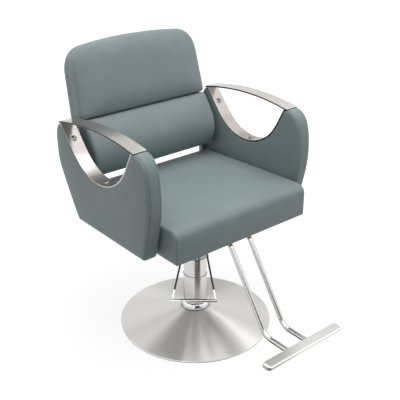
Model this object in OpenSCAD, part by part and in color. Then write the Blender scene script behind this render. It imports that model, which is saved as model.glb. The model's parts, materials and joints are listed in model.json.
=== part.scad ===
// Hydraulic salon chair: round spun base, two-part column, stirrup pedal,
// box seat, barrel arms lined with steel, two-part back and a T footrest.
// Millimetres. Origin on the floor under the column, +Z up, the sitter faces -Y,
// and the sitter's left is +X.

/* [Base] */
// Diameter of the base disc
base_d = 510; // [460:1:600]
// Height of the upright edge of the base shell
base_edge_h = 5; // [3:0.5:9]
// Height of the flat neck of the base shell above the floor
base_neck_z = 58; // [48:1:80]
// Diameter of the flat neck of the base shell
base_neck_d = 102; // [98:1:120]
// Sheet thickness of the base shell
shell_t = 2; // [1.2:0.1:3]
// Thickness of the rubber sheet that the base stands on
floor_pad_t = 2.2; // [1.5:0.1:4]
// Gap between the edge of the shell and the ballast plate under it
plate_inset = 20; // [16:1:24]
// Thickness of the ballast plate
plate_t = 6; // [4:0.5:6.5]
// Diameter of the flange at the foot of the guide tube
flange_d = 140; // [130:1:160]
// Thickness of the flange
flange_t = 10; // [8:0.5:14]
// Bolt circle of the flange
flange_pcd = 112; // [106:1:114]
// Number of flange bolts
flange_bolts_n = 6; // [4:1:8]
// Thickness of the black gasket under the collar
gasket_t = 2; // [1:0.5:4]
// Outer diameter of the collar at the foot of the column
collar_d = 99; // [94:1:101]
// Height of the collar
collar_h = 19; // [12:1:26]

/* [Column] */
// Outer diameter of the fixed lower cover
lower_cover_d = 81; // [80.4:0.1:84]
// Height of the top of the lower cover above the floor
lower_cover_top = 181; // [178:1:200]
// Sheet thickness of both covers
cover_t = 1.2; // [0.8:0.1:1.2]
// Outer diameter of the upper cover
upper_cover_d = 77; // [74:0.5:77]
// Length of upper cover that shows with the chair at its lowest
upper_cover_show = 64; // [58:1:80]
// How far the hydraulic pump lifts the seat
lift_travel = 150; // [100:1:152]
// Outer diameter of the fixed guide tube
guide_tube_d = 68; // [66:0.5:70]
// Height of the top of the guide tube above the floor
guide_tube_top = 226; // [215:1:232]
// Length of the guide bush
bush_len = 36; // [24:1:40]
// Outer diameter of the pump cylinder
cylinder_d = 56; // [50:0.5:57]
// Wall of the pump cylinder
cylinder_t = 5; // [3:0.5:7]
// Diameter of the fixed piston rod
rod_d = 22; // [16:0.5:26]
// Length of the piston
piston_len = 20; // [16:1:24]
// Length of the gland that closes the cylinder's foot
gland_len = 18; // [12:1:20]

/* [Pump head] */
// Thickness of the flange of the pump head
head_flange_t = 10; // [8:0.5:12]
// Diameter of the neck of the pump head
head_neck_d = 54; // [50:0.5:56]
// Height of the neck above the flange
head_neck_h = 65; // [60:1:76]
// Diameter of the spindle that the seat turns on
spindle_d = 32; // [26:0.5:36]
// Length of spindle above the pump head
spindle_up = 63; // [50:1:66]
// Thickness of the thrust washer
washer_t = 3; // [2:0.5:5]

/* [Pedal] */
// Turn of the pedal about the column, from the front of the chair
pedal_turn = -41; // [-60:1:60]
// Distance of the pedal's pivot in front of the column axis
pivot_fwd = 36; // [34:0.5:40]
// Height of the pedal's pivot above the floor
pivot_z = 300; // [298:0.5:304]
// Diameter of the pivot pin
pivot_pin_d = 10; // [8:0.5:12]
// Distance of the foot rod in front of the column axis
foot_rod_fwd = 155; // [130:1:175]
// Height of the foot rod above the floor, at rest
foot_rod_z = 168; // [155:1:190]
// Distance between the stirrup's legs at the foot rod
foot_rod_w = 139; // [110:1:160]
// Diameter of the foot rod in its middle
foot_rod_d = 12; // [9:0.5:16]
// Length of foot rod outside each leg
foot_rod_end = 4; // [3:0.5:10]
// Distance between the legs of the stirrup at the pivot
leg_gap_top = 67; // [62:1:76]
// Diameter of the stirrup's legs
leg_d = 5; // [4:0.2:8]
// Length of the black sleeve on each leg
sleeve_len = 108; // [60:1:120]
// Wall of the black sleeve
sleeve_t = 0.6; // [0.4:0.1:1.2]

/* [Seat] */
// Half of the seat's width
seat_half_w = 261; // [256:0.5:264]
// Distance of the front face of the seat in front of the column axis
seat_front = 235; // [232:1:250]
// Distance of the rear face of the seat behind the column axis
seat_rear = 258; // [256:1:259]
// Height of the lower edge of the seat above the floor
seat_bottom = 400; // [398:1:410]
// Height of the side seam above the seat's lower edge, at the front
seat_seam_h = 105; // [98:1:115]
// Fall of the seat's top from front to rear
seat_fall = 19; // [12:1:22]
// Crown of the seat's top in its middle
seat_crown = 8; // [0:0.5:14]
// Radius of the waterfall edge at the seat's front
waterfall_r = 28; // [20:1:36]
// Radius of the seat's top edge at the rear
seat_rear_r = 15; // [8:1:20]
// Radius of the rounding between the panels at the seat's sides
seat_side_r = 7; // [4:0.5:10]

/* [Seat frame] */
// Thickness of the wooden rails
rail_t = 22; // [18:1:24]
// Height of the wooden rails
rail_h = 50; // [44:1:54]
// Thickness of the board on the rails
board_t = 12; // [9:1:14]
// Foam and cover between the frame and the outside of the seat
skirt_t = 12; // [10:0.5:15]
// Width of the flat cross rails
cross_rail_w = 60; // [50:1:64]
// Side of the square mounting plate
mount_plate_w = 230; // [210:1:240]
// Thickness of the mounting plate
mount_plate_t = 6; // [4:0.5:8]
// Distance of the mounting bolts from the plate's middle, across
mount_bolt_x = 95; // [80:1:105]

/* [Arms] */
// Gap between the seat and each arm
arm_gap = 6; // [5:0.5:14]
// Thickness of the inner upholstered panel
arm_inner_t = 15; // [10:0.5:18]
// Thickness of the plywood core
arm_core_t = 22; // [18:1:26]
// Thickness of the outer upholstered panel
arm_outer_t = 16; // [10:0.5:18]
// Width of the upholstered edge round the core
arm_band_w = 14; // [8:0.5:18]
// Height of the arms' lower edge above the seat's
arm_lift = 5; // [2:1:12]
// Height of the arms from their lower edge to the armrest's front end
arm_h = 316; // [312:1:318]
// Distance of the arm's foremost point in front of the column axis
arm_front = 190; // [184:1:200]
// Distance of the arm's rearmost point behind the column axis
arm_rear = 289; // [285:1:296]

/* [Arm steel] */
// Thickness of the armrest strip
strip_t = 5; // [3:0.5:6]
// Radius of the armrest strip's top
strip_r = 700; // [680:5:760]
// Rise of the armrest strip's highest point above the arm's front end
strip_rise = 20; // [18:0.5:22]
// Distance of the highest point behind the column axis
strip_peak = 48; // [44:1:54]
// Distance of the strip's front end in front of the column axis
strip_front = 125; // [124:0.5:127]
// Distance of the strip's rear end behind the column axis
strip_rear = 263; // [260:1:266]
// Margin of the steel inside the upholstery on either side
strip_margin = 2.5; // [1:0.5:4]
// Thickness of the hoop under the armrest
hoop_t = 4; // [2.5:0.5:5]
// Radius of the hoop's underside
hoop_r = 168; // [160:1:172]
// Distance of the hoop's lowest point behind the column axis
hoop_y = 65; // [60:1:70]
// Drop from the strip's highest point to the hoop's lowest
hoop_drop = 173; // [167:1:177]
// Slope of the hoop's front leg
hoop_front_a = 61; // [58:0.5:64]
// Slope of the hoop's rear leg
hoop_rear_a = 50; // [47:0.5:53]
// Diameter of the heads of the hoop's screws
hoop_screw_d = 18; // [14:0.5:20]

/* [Back] */
// Recline of the back
recline = 14; // [12:0.5:16]
// Distance of the foot of the upper pad's front face behind the column axis
back_y = 245; // [243:1:248]
// Drop from the armrest strip's highest point to the foot of the upper pad's front face
back_drop = 38; // [33:1:43]
// Depth of the upper pad at its sides
pad_depth = 76; // [70:1:80]
// How much narrower the upper pad is than the lumbar pad, on either side
upper_step = 6.5; // [2:0.5:16]
// Height of the upper pad at its middle
upper_h = 236; // [220:1:250]
// Radius of the upper pad's top corners
upper_top_r = 74; // [50:1:80]
// Radius of the upper pad's bottom corners
upper_low_r = 16; // [8:1:24]
// Rise of the upper pad's arched top, as an angle at its ends
upper_arch_a = 7; // [4:0.5:10]
// Crown of the upper pad's front
upper_crown = 14; // [6:0.5:18]
// Gap between the lumbar pad and the post on either side
post_gap = 0.8; // [0.8:0.1:4]
// Open gap between the seat and the lumbar pad
seat_gap = 33.6; // [28:0.1:40]
// How far the lumbar pad stands in front of the upper pad's foot
lumbar_bulge = 38; // [28:1:42]
// Thickness of the foam and cover round the pads' pockets
pocket_wall = 15; // [12:0.5:18]
// Thickness of the boards inside the back
back_board_t = 15; // [12:0.5:16]
// Thickness of the steel straps behind the boards
back_strap_t = 5; // [3:0.5:6]
// Thickness of the upholstered posts that join back and arms
upright_t = 19.5; // [16:0.5:19.5]

/* [Footrest] */
// Diameter of the footrest tubes
foot_tube_d = 16; // [14:0.5:19]
// Wall of the footrest tubes
foot_tube_t = 1.5; // [1:0.1:2.5]
// Distance between the footrest tubes
foot_tube_gap = 78; // [60:1:100]
// Slope of the footrest tubes
foot_tube_a = 56; // [50:0.5:62]
// Distance where the tubes meet the seat's underside, in front of the column axis
foot_tube_top_y = 212; // [206:1:214]
// Height of the tubes' low stretch above the floor
foot_tube_low_z = 146; // [130:1:170]
// Radius of the tubes' upper bend
foot_bend_top = 30; // [25:1:34]
// Radius of the tubes' lower bend
foot_bend_low = 45; // [35:1:60]
// Length of the foot bar without its caps
foot_bar_l = 296; // [240:1:360]
// Width of the foot bar
foot_bar_w = 36; // [30:1:46]
// Thickness of the foot bar
foot_bar_t = 11; // [9:0.5:16]
// Distance of the foot bar's middle in front of the column axis
foot_bar_y = 493; // [480:1:520]
// Length of each end cap
foot_cap_l = 8; // [5:0.5:12]

/* [Hidden] */
$fn = 72;

// Working gaps
cut = 1;               // overrun of every cutting shape
run_gap = 0.06;        // radial gap of a shaft that turns or slides in its bore
bolt_gap = 0.1;        // radial gap round a bolt's shank
lay_gap = 0.1;         // gap between faces that turn on each other
soft_gap = 0.3;        // gap between a soft part and the solid it holds
cover_gap = 0.4;       // radial gap between the sliding cover and the neck it passes

// Fasteners
m6_r = 3;
m8_r = 4;
m10_r = 5;
hex_head_share = 1.65;     // radius of a hexagon head over the bolt's radius
hex_height_share = 1.3;    // height of a hexagon head over the bolt's radius

// Base, from the floor up
base_r = base_d / 2;
neck_r = base_neck_d / 2;
edge_z = floor_pad_t + base_edge_h;
plate_top = floor_pad_t + plate_t;
plate_r = base_r - plate_inset;
flange_top = plate_top + flange_t;
upper_cover_r = upper_cover_d / 2;
lower_cover_r = lower_cover_d / 2;
neck_hole_r = upper_cover_r + cover_gap;
gasket_top = base_neck_z + gasket_t;
gasket_lip = 0.5;          // how far the gasket stands out from under the collar
collar_top = gasket_top + collar_h;
guide_r = guide_tube_d / 2;
guide_wall = 3.5;
bush_lip = 3;
rod_r = rod_d / 2;

// Column, moving part at its lowest
upper_cover_top = lower_cover_top + upper_cover_show;
upper_cover_low = flange_top + gasket_t;
cover_seal_t = 2;
head_low = upper_cover_top + cover_seal_t;
head_flange_top = head_low + head_flange_t;
head_top = head_flange_top + head_neck_h;
washer_top = head_top + washer_t;
cylinder_r = cylinder_d / 2;
cylinder_ri = cylinder_r - cylinder_t;
cylinder_cap_t = 8;
piston_gap = 3;
piston_top = head_low - cylinder_cap_t - piston_gap;
cylinder_low = piston_top - piston_len - lift_travel - gland_len - piston_gap * 2;
seal_h_share = 0.3;        // height of the piston seal over the piston's length
seal_depth = 3;
spindle_r = spindle_d / 2;
spindle_seat = 60;         // depth of the spindle in the pump head
spindle_top = head_top + spindle_up;
chamfer = 2;
head_r = upper_cover_r - cover_t / 2;

// Pedal in the plane that holds its two legs
pedal_drop = pivot_z - foot_rod_z;
pedal_run = foot_rod_fwd - pivot_fwd;
pedal_len = sqrt(pedal_drop * pedal_drop + pedal_run * pedal_run);
pedal_a = atan2(pedal_drop, pedal_run);
leg_spread = (foot_rod_w - leg_gap_top) / 2;
leg_a = atan2(leg_spread, pedal_len);
leg_r = leg_d / 2;
cheek_t = 7;
cheek_gap = 0.3;
boss_half_w = 15;
boss_r = 10;
cheek_in = boss_half_w + cheek_gap;
cheek_out = cheek_in + cheek_t;
yoke_r = 11;
socket_t = 2.8;
socket_r = leg_r + socket_t;
bridge_t = 2;
bridge_r = leg_r + bridge_t;
socket_start = 10;
socket_end = 38;
leg_start = 17;            // start of the legs, inside their sockets
press_arm = 20;            // reach of the yoke's cross rod in front of the pivot
press_a = 11.3;            // angle of that reach below the level
press_r = 5;
press_head_r = 7;
press_z = pivot_z - press_arm * sin(press_a);
plunger_r = 6;
plunger_len = 16;
plunger_y = pivot_fwd + press_arm * cos(press_a);
plunger_top = press_z - press_r - soft_gap;
plunger_boss_r = 11;
plunger_boss_up = 15;
plunger_boss_low = head_low + plunger_boss_up;
plunger_boss_h = 17;
plunger_floor = 3;

// Seat stack
frame_low = seat_bottom + 2;
frame_top = frame_low + rail_h;
board_top = frame_top + board_t;
frame_half_w = seat_half_w - skirt_t;
frame_front = seat_front - skirt_t;
frame_rear = seat_rear - skirt_t;
plate_low = frame_low - mount_plate_t;
cross_rails_y = [-160, -80, 80];
dust_t = 0.8;
seat_bolt_h = 32;          // height of the arm bolts above the frame's foot
arm_bolt_y = [-20, 140];
seat_bulge = 3;
seat_steps = 6;

// Arms, in the plane of Y and Z
arm_inner = seat_half_w + arm_gap;
core_in = arm_inner + arm_inner_t;
arm_bottom = seat_bottom + arm_lift;
strip_top = arm_bottom + arm_h + strip_rise;
hoop_bottom = strip_top - hoop_drop;
core_out = core_in + arm_core_t;
arm_out = core_out + arm_outer_t;
arm_len = arm_front + arm_rear;
steel_in = arm_inner + strip_margin;
strip_edge = 4;            // leather that shows outside the steel
steel_w = arm_out - arm_inner - strip_margin - strip_edge;
// Outline of the front edge, from the foot up: shares of the length and the height
arm_front_shares = [
    [0.071, 0], [0.052, 0.12], [0.029, 0.268], [0.008, 0.426], [0, 0.584],
    [0.006, 0.741], [0.025, 0.861], [0.058, 0.943], [0.104, 0.987]
];
// Outline of the rear edge, from the top down
arm_rear_shares = [
    [0.957, 0.93], [0.981, 0.875], [0.995, 0.789], [1, 0.66], [0.99, 0.543],
    [0.956, 0.435], [0.914, 0.315], [0.868, 0.192], [0.8195, 0.07], [0.79, 0]
];
pad_round = 13;            // how far the panels' faces are drawn in at their edges
curve_steps = 2;
arc_steps = 16;
bend_steps = 8;
rod_sides = 20;
strip_z = strip_top - strip_r;
foot_screw_a = 3.5;        // angle of the lower screw before the hoop's lowest point
leg_screw_up = 42;         // distance of the upper screw up the rear leg
hoop_z = hoop_bottom + hoop_r;

// Back, in its own reclined frame: X across, Y to the rear, Z up along the back
back_z = strip_top - back_drop;
board_inset = 11;          // depth of the boards below the pads' rear faces
board_y = pad_depth - board_inset - back_board_t;
board_back = board_y + back_board_t;
strap_back = board_back + back_strap_t;
lumbar_top = -3;
lumbar_low = (seat_bottom + seat_seam_h - seat_fall + seat_gap - back_z) / cos(recline);
lumbar_h = lumbar_top - lumbar_low;
lumbar_depth = pad_depth + lumbar_bulge;
strap_w = 40;
strap_x = 110;
strap_share = 0.79;        // share of the lumbar pad's height that the straps reach down
strap_reach = lumbar_h * strap_share;
// Outline of the lumbar pad: shares of its depth from the front, and of its height
lumbar_shares = [
    [0.45, 0.011], [0.72, 0], [0.965, 0.004], [1, 0.032], [1, 0.5], [1, 0.973],
    [0.965, 1], [0.6, 1], [0.4, 1], [0.263, 0.973], [0.158, 0.824], [0.061, 0.642],
    [0, 0.455], [0.044, 0.278], [0.158, 0.144], [0.299, 0.059]
];
upright_front = 22;
upright_back = pad_depth - chamfer;
upright_gap = 0.2;
upright_off = 1.5;         // gap between the seat's rear face and the posts' feet
upright_top = -25;
upright_foot_rise = 7;
upright_foot_share = 3;
upright_in = arm_inner - upright_t - upright_gap;
lumbar_half_w = upright_in - post_gap;
upper_half_w = lumbar_half_w - upper_step;
dowel_r = 4;
// Dowels up the posts: shares of the height from the joint of the pads to the lumbar pad's foot
arm_dowel_shares = [0.32, 0.8];
board_dowel_shares = [0.24, 0.72];

// Footrest
foot_tube_r = foot_tube_d / 2;
foot_plate_t = 4;
foot_plate_half_w = 70;
foot_plate_depth = 80;
foot_tube_z = frame_low - foot_plate_t - foot_tube_r;
foot_tube_x = foot_tube_gap / 2;
foot_low_y = foot_tube_top_y + (foot_tube_z - foot_tube_low_z) / tan(foot_tube_a);
foot_bar_low = foot_tube_low_z + foot_tube_r;
foot_plate_y = -cross_rails_y[0];
foot_screw_x = 57;
foot_screw_y = 20;

// Colours
satin = [0.76, 0.76, 0.75];
bright = [0.86, 0.87, 0.88];
steel = [0.45, 0.46, 0.47];
black = [0.08, 0.08, 0.08];
iron = [0.22, 0.22, 0.23];
bronze = [0.7, 0.52, 0.28];
wood = [0.78, 0.64, 0.44];
hide = [0.5, 0.55, 0.56];

// Helpers for outlines and lofts

function unit(v) = v / norm(v);

function reversed(p) = [for (k = [len(p) - 1 : -1 : 0]) p[k]];

// Outward normal at point i of a counter-clockwise outline
function normal_at(pts, i) =
    let (n = len(pts), t = unit(pts[(i + 1) % n] - pts[(i + n - 1) % n])) [t.y, -t.x];

// Outline drawn in by d, times a weight for each point
function drawn_in(pts, d, weights = undef) =
    [for (i = [0 : len(pts) - 1])
        pts[i] - normal_at(pts, i) * d * (is_undef(weights) ? 1 : weights[i])];

// Point at share t between b and c of a smooth curve through a, b, c and e
function smooth_at(a, b, c, e, t) =
    b + (c - a) * t / 2
    + (a * 2 - b * 5 + c * 4 - e) * t * t / 2
    + (b * 3 - a - c * 3 + e) * t * t * t / 2;

// Smooth open curve through the points, each stretch cut into equal steps
function smooth_open(p, steps) =
    let (m = len(p) - 1)
    concat(
        [for (i = [0 : m - 1], k = [0 : steps - 1])
            smooth_at(p[max(i - 1, 0)], p[i], p[i + 1], p[min(i + 2, m)], k / steps)],
        [p[m]]);

// Smooth closed curve through the points
function smooth_closed(p, steps) =
    let (n = len(p))
    [for (i = [0 : n - 1], k = [0 : steps - 1])
        smooth_at(p[(i + n - 1) % n], p[i], p[(i + 1) % n], p[(i + 2) % n], k / steps)];

function arc(c, r, a0, a1, steps) =
    [for (k = [0 : steps]) let (a = a0 + (a1 - a0) * k / steps) c + r * [cos(a), sin(a)]];

function mean(pts, i = 0) = i == len(pts) ? pts[0] * 0 : pts[i] / len(pts) + mean(pts, i + 1);

// Solid through rings of equal length. Its end caps are plain, or fan out from their middles
module loft(rings, fans = false) {
    n = len(rings[0]);
    m = len(rings);
    last = (m - 1) * n;
    ends = [mean(rings[0]), mean(rings[m - 1])];
    polyhedron(
        points = concat([for (r = rings, p = r) p], fans ? ends : []),
        faces = concat(
            [for (k = [0 : m - 2], i = [0 : n - 1]) let (j = (i + 1) % n, a = k * n, b = a + n)
                each [[a + i, b + i, b + j], [a + i, b + j, a + j]]],
            fans
                ? [for (i = [0 : n - 1]) let (j = (i + 1) % n)
                    each [[m * n, i, j], [m * n + 1, last + j, last + i]]]
                : [[for (i = [n - 1 : -1 : 0]) i], [for (i = [0 : n - 1]) last + i]]),
        convexity = 6);
}

// Points and headings along a flat path of corners, each corner rounded to its own radius
function rounded_path(path, bends) =
    let (
        n = len(path),
        way = [for (i = [0 : n - 2]) unit(path[i + 1] - path[i])]
    )
    concat(
        [[path[0], way[0]]],
        [for (i = [1 : 1 : n - 2]) let (
            turn = atan2(way[i - 1].x * way[i].y - way[i - 1].y * way[i].x, way[i - 1] * way[i]),
            side = sign(turn),
            foot = path[i] - way[i - 1] * bends[i] * tan(abs(turn) / 2),
            centre = foot + side * bends[i] * [-way[i - 1].y, way[i - 1].x],
            from = atan2(foot.y - centre.y, foot.x - centre.x)
        )
            each [for (k = [0 : bend_steps]) let (a = from + turn * k / bend_steps)
                [centre + bends[i] * [cos(a), sin(a)], side * [-sin(a), cos(a)]]]],
        [[path[n - 1], way[n - 2]]]);

// Ring of radius r round each point of a rounded path, square to its heading
function rod_rings(stations, r) =
    [for (s = stations) [for (k = [0 : rod_sides - 1]) let (
        a = 360 * k / rod_sides,
        out = s[0] + r * cos(a) * [-s[1].y, s[1].x]
    ) [out.x, out.y, r * sin(a)]]];

// Bent tube: the outer rings run one way and the inner rings run back
module bent_tube(path, bends, r_out, r_in) {
    stations = rounded_path(path, bends);
    closed_loft(concat(
        reversed(rod_rings(stations, r_out)), rod_rings(stations, r_in)));
}

// Solid through a closed row of rings, the last joined to the first
module closed_loft(rings) {
    n = len(rings[0]);
    m = len(rings);
    polyhedron(
        points = [for (r = rings, p = r) p],
        faces = [for (k = [0 : m - 1], i = [0 : n - 1])
            let (j = (i + 1) % n, a = k * n, b = ((k + 1) % m) * n)
            each [[a + i, b + i, b + j], [a + i, b + j, a + j]]],
        convexity = 6);
}

module ring(r_out, r_in, low, high) {
    translate([0, 0, low])
        difference() {
            cylinder(r = r_out, h = high - low);
            translate([0, 0, -cut]) cylinder(r = r_in, h = high - low + 2 * cut);
        }
}

// Hexagon bolt along +Z from the face it clamps, head below
module hex_bolt(r, shank) {
    cylinder(r = r - bolt_gap, h = shank);
    translate([0, 0, -r * hex_height_share])
        cylinder(r = r * hex_head_share, h = r * hex_height_share, $fn = 6);
}

// Lays a flat drawing of Y and Z on its side, with its thickness along X
module along_x(low, high) {
    translate([low, 0, 0]) rotate([90, 0, 90]) linear_extrude(high - low) children();
}

// The sitter's left is +X, and the right side is its mirror image
module on_side(side) {
    if (side == "left") children();
    else mirror([1, 0, 0]) children();
}

module both_sides() {
    on_side("left") children();
    on_side("right") children();
}

// Places a child in the reclined frame of the back
module in_back() {
    translate([0, back_y, back_z]) rotate([-recline, 0, 0]) children();
}

// Places a child in front of the column, turned with the pedal
module at_pedal() {
    rotate([0, 0, pedal_turn]) children();
}

// Base

module floor_pad() {
    color(black) cylinder(r = base_r - floor_pad_t / 2, h = floor_pad_t);
}

module base_plate() {
    color(iron) difference() {
        ring(plate_r, rod_r, floor_pad_t, plate_top);
        flange_bolt_holes();
    }
}

module flange_bolt_holes() {
    for (k = [0 : flange_bolts_n - 1])
        rotate([0, 0, (k + 1 / 2) * 360 / flange_bolts_n])
            translate([flange_pcd / 2, 0, -cut])
            cylinder(r = m10_r, h = flange_top + 2 * cut);
}

module base_shell() {
    low = [base_r, floor_pad_t];
    color(satin) rotate_extrude() polygon([
        low,
        [base_r, edge_z],
        [neck_r, base_neck_z],
        [neck_hole_r, base_neck_z],
        [neck_hole_r, base_neck_z - shell_t],
        [neck_r, base_neck_z - shell_t],
        [base_r - shell_t, edge_z - shell_t],
        [base_r - shell_t, floor_pad_t]
    ]);
}

module guide_tube() {
    color(steel) difference() {
        union() {
            ring(flange_d / 2, rod_r + bolt_gap, plate_top, flange_top);
            ring(guide_r, guide_r - guide_wall, flange_top - chamfer, guide_tube_top);
        }
        flange_bolt_holes();
    }
}

module flange_bolts() {
    color(steel)
        for (k = [0 : flange_bolts_n - 1])
            rotate([0, 0, (k + 1 / 2) * 360 / flange_bolts_n])
                translate([flange_pcd / 2, 0, flange_top])
                mirror([0, 0, 1])
                hex_bolt(m10_r, flange_t + plate_t);
}

module guide_bush() {
    color(bronze) {
        ring(guide_r - guide_wall - run_gap, cylinder_r + run_gap,
            guide_tube_top - bush_len, guide_tube_top + cut);
        ring(guide_r, cylinder_r + run_gap, guide_tube_top, guide_tube_top + bush_lip);
    }
}

module piston_rod() {
    seal_h = piston_len * seal_h_share;
    seal_low = piston_top - (piston_len + seal_h) / 2;
    color(bright) {
        translate([0, 0, plate_top]) cylinder(r = rod_r, h = piston_top - plate_top - cut);
        difference() {
            translate([0, 0, piston_top - piston_len])
                cylinder(r = cylinder_ri - run_gap, h = piston_len);
            ring(cylinder_r, cylinder_ri - seal_depth, seal_low, seal_low + seal_h);
        }
    }
}

module piston_seal() {
    seal_h = piston_len * seal_h_share;
    seal_low = piston_top - (piston_len + seal_h) / 2;
    color(black)
        ring(cylinder_ri - run_gap, cylinder_ri - seal_depth, seal_low, seal_low + seal_h);
}

module collar_gasket() {
    color(black) ring(collar_d / 2 + gasket_lip, lower_cover_r + bolt_gap, base_neck_z, gasket_top);
}

module collar_ring() {
    r_in = lower_cover_r + bolt_gap;
    wide = collar_d / 2 - r_in;
    steps = 8;
    color(bright) rotate_extrude() polygon(concat(
        [[r_in, gasket_top]],
        [for (k = [0 : steps]) let (a = 90 * k / steps)
            [r_in + shell_t / 2 + (wide - shell_t / 2) * cos(a), gasket_top + collar_h * sin(a)]],
        [[r_in, collar_top]]));
}

module lower_cover() {
    color(satin) ring(lower_cover_r, lower_cover_r - cover_t, base_neck_z, lower_cover_top);
}

// Pump, moving part

module pump_cylinder() {
    color(steel) {
        ring(cylinder_r, cylinder_ri, cylinder_low, head_low - cylinder_cap_t + cut);
        translate([0, 0, head_low - cylinder_cap_t]) cylinder(r = cylinder_r, h = cylinder_cap_t);
    }
}

module cylinder_gland() {
    color(bronze) ring(cylinder_ri, rod_r + run_gap, cylinder_low, cylinder_low + gland_len);
}

module upper_cover() {
    color(satin) ring(upper_cover_r, upper_cover_r - cover_t, upper_cover_low, upper_cover_top);
}

module cover_gasket() {
    color(black) ring(upper_cover_r + run_gap, cylinder_r, upper_cover_top, head_low);
}

module pump_head() {
    color(bright) difference() {
        union() {
            translate([0, 0, head_low]) cylinder(r = head_r, h = head_flange_t);
            translate([0, 0, head_flange_top - cut])
                cylinder(r = head_neck_d / 2, h = head_neck_h + cut);
            at_pedal() {
                translate([0, -pivot_fwd, pivot_z]) rotate([0, 90, 0])
                    cylinder(r = boss_r, h = 2 * boss_half_w, center = true);
                translate([-boss_half_w, -pivot_fwd, pivot_z - boss_r])
                    cube([2 * boss_half_w, pivot_fwd, 2 * boss_r]);
                translate([0, -plunger_y, plunger_boss_low])
                    cylinder(r = plunger_boss_r, h = plunger_boss_h);
                translate([-plunger_boss_r, -plunger_y, plunger_boss_low])
                    cube([2 * plunger_boss_r, plunger_y, plunger_boss_h * 2 / 3]);
            }
        }
        translate([0, 0, head_top - spindle_seat])
            cylinder(r = spindle_r, h = spindle_seat + cut);
        at_pedal() {
            translate([0, -pivot_fwd, pivot_z]) rotate([0, 90, 0])
                cylinder(r = pivot_pin_d / 2, h = 2 * (boss_half_w + cut), center = true);
            translate([0, -plunger_y, plunger_boss_low + plunger_floor])
                cylinder(r = plunger_r + run_gap, h = plunger_boss_h + cut);
        }
    }
}

module spindle() {
    color(steel) translate([0, 0, head_top - spindle_seat]) {
        cylinder(r = spindle_r, h = spindle_seat + spindle_up - chamfer);
        translate([0, 0, spindle_seat + spindle_up - chamfer])
            cylinder(r1 = spindle_r, r2 = spindle_r - chamfer, h = chamfer);
    }
}

module thrust_washer() {
    color(bronze) ring(head_neck_d / 2 - cut, spindle_r + bolt_gap, head_top, washer_top);
}

module pivot_pin() {
    reach = cheek_out + chamfer;
    color(steel) at_pedal() translate([0, -pivot_fwd, pivot_z]) rotate([0, 90, 0]) {
        cylinder(r = pivot_pin_d / 2, h = 2 * reach, center = true);
        for (s = [-1, 1]) translate([0, 0, s * (reach + chamfer / 2)])
            cylinder(r = pivot_pin_d / 2 + chamfer, h = chamfer, center = true);
    }
}

module pump_plunger() {
    color(bright) at_pedal() translate([0, -plunger_y, plunger_top - plunger_len])
        cylinder(r = plunger_r, h = plunger_len);
}

// Pedal: the plane of the legs is laid flat, with X across and Y from the pivot to the foot rod

module in_pedal_plane() {
    at_pedal() translate([0, -pivot_fwd, pivot_z]) rotate([pedal_a, 0, 0])
        mirror([0, 1, 0]) children();
}

module on_leg(s, along) {
    translate([s * leg_gap_top / 2, 0, 0]) rotate([0, 0, -s * leg_a])
        rotate([-90, 0, 0]) translate([0, 0, along]) children();
}

module pedal_yoke() {
    bridge = socket_start + socket_r;
    bridge_l = leg_gap_top / 2 - cheek_in - cheek_t / 2 + bridge * tan(leg_a);
    color(bright) difference() {
        union() {
            at_pedal() {
                translate([0, -plunger_y, press_z]) rotate([0, 90, 0])
                    cylinder(r = press_r, h = 2 * cheek_in + cheek_t, center = true);
                for (low = [-cheek_out, cheek_in]) along_x(low, low + cheek_t) hull() {
                    translate([-pivot_fwd, pivot_z]) circle(r = yoke_r);
                    translate([-plunger_y, press_z]) circle(r = press_head_r);
                    translate([-pivot_fwd, pivot_z] - bridge * [cos(pedal_a), sin(pedal_a)])
                        circle(r = bridge_r * 3 / 2);
                }
            }
            in_pedal_plane() for (s = [-1, 1]) {
                translate([s * (cheek_in + cheek_t / 2), bridge, 0]) rotate([0, s * 90, 0])
                    cylinder(r = bridge_r, h = bridge_l);
                on_leg(s, socket_start) cylinder(r = socket_r, h = socket_end - socket_start);
            }
        }
        at_pedal() translate([0, -pivot_fwd, pivot_z]) rotate([0, 90, 0])
            cylinder(r = pivot_pin_d / 2 + run_gap, h = 2 * (cheek_out + cut), center = true);
        in_pedal_plane() for (s = [-1, 1]) on_leg(s, leg_start)
            cylinder(r = leg_r, h = pedal_len);
    }
}

// Two straight legs welded into a foot rod that is thickest in its middle
module pedal_stirrup() {
    half = foot_rod_w / 2 + foot_rod_end;
    mid_r = foot_rod_d / 2;
    swell_share = 0.28;
    steps = 10;
    color(bright) in_pedal_plane() {
        translate([0, pedal_len, 0]) rotate([0, 90, 0]) rotate_extrude() polygon(concat(
            [[0, -half]],
            [for (k = [0 : steps]) let (t = 2 * k / steps - 1)
                [mid_r * (1 - swell_share * t * t), half * t]],
            [[0, half]]));
        for (s = [-1, 1]) on_leg(s, leg_start)
            cylinder(r = leg_r, h = pedal_len / cos(leg_a) - leg_start);
    }
}

module pedal_sleeves() {
    color(black) in_pedal_plane() for (s = [-1, 1]) on_leg(s, socket_end)
        ring(leg_r + sleeve_t, leg_r, 0, sleeve_len);
}

// Seat carrier

module swivel_socket() {
    color(steel) ring(spindle_r + head_flange_t - chamfer, spindle_r + run_gap,
        washer_top + lay_gap, plate_low);
}

module mount_plate() {
    color(steel) difference() {
        translate([-mount_plate_w / 2, -mount_plate_w / 2, plate_low])
            cube([mount_plate_w, mount_plate_w, mount_plate_t]);
        mount_bolt_places() translate([0, 0, -cut]) cylinder(r = m8_r, h = mount_plate_t + 2 * cut);
    }
}

module mount_bolt_places() {
    for (x = [-1, 1], y = [cross_rails_y[1], cross_rails_y[2]])
        translate([x * mount_bolt_x, y, plate_low]) children();
}

module mount_bolts() {
    color(steel) mount_bolt_places() hex_bolt(m8_r, mount_plate_t + rail_t - chamfer);
}

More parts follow.
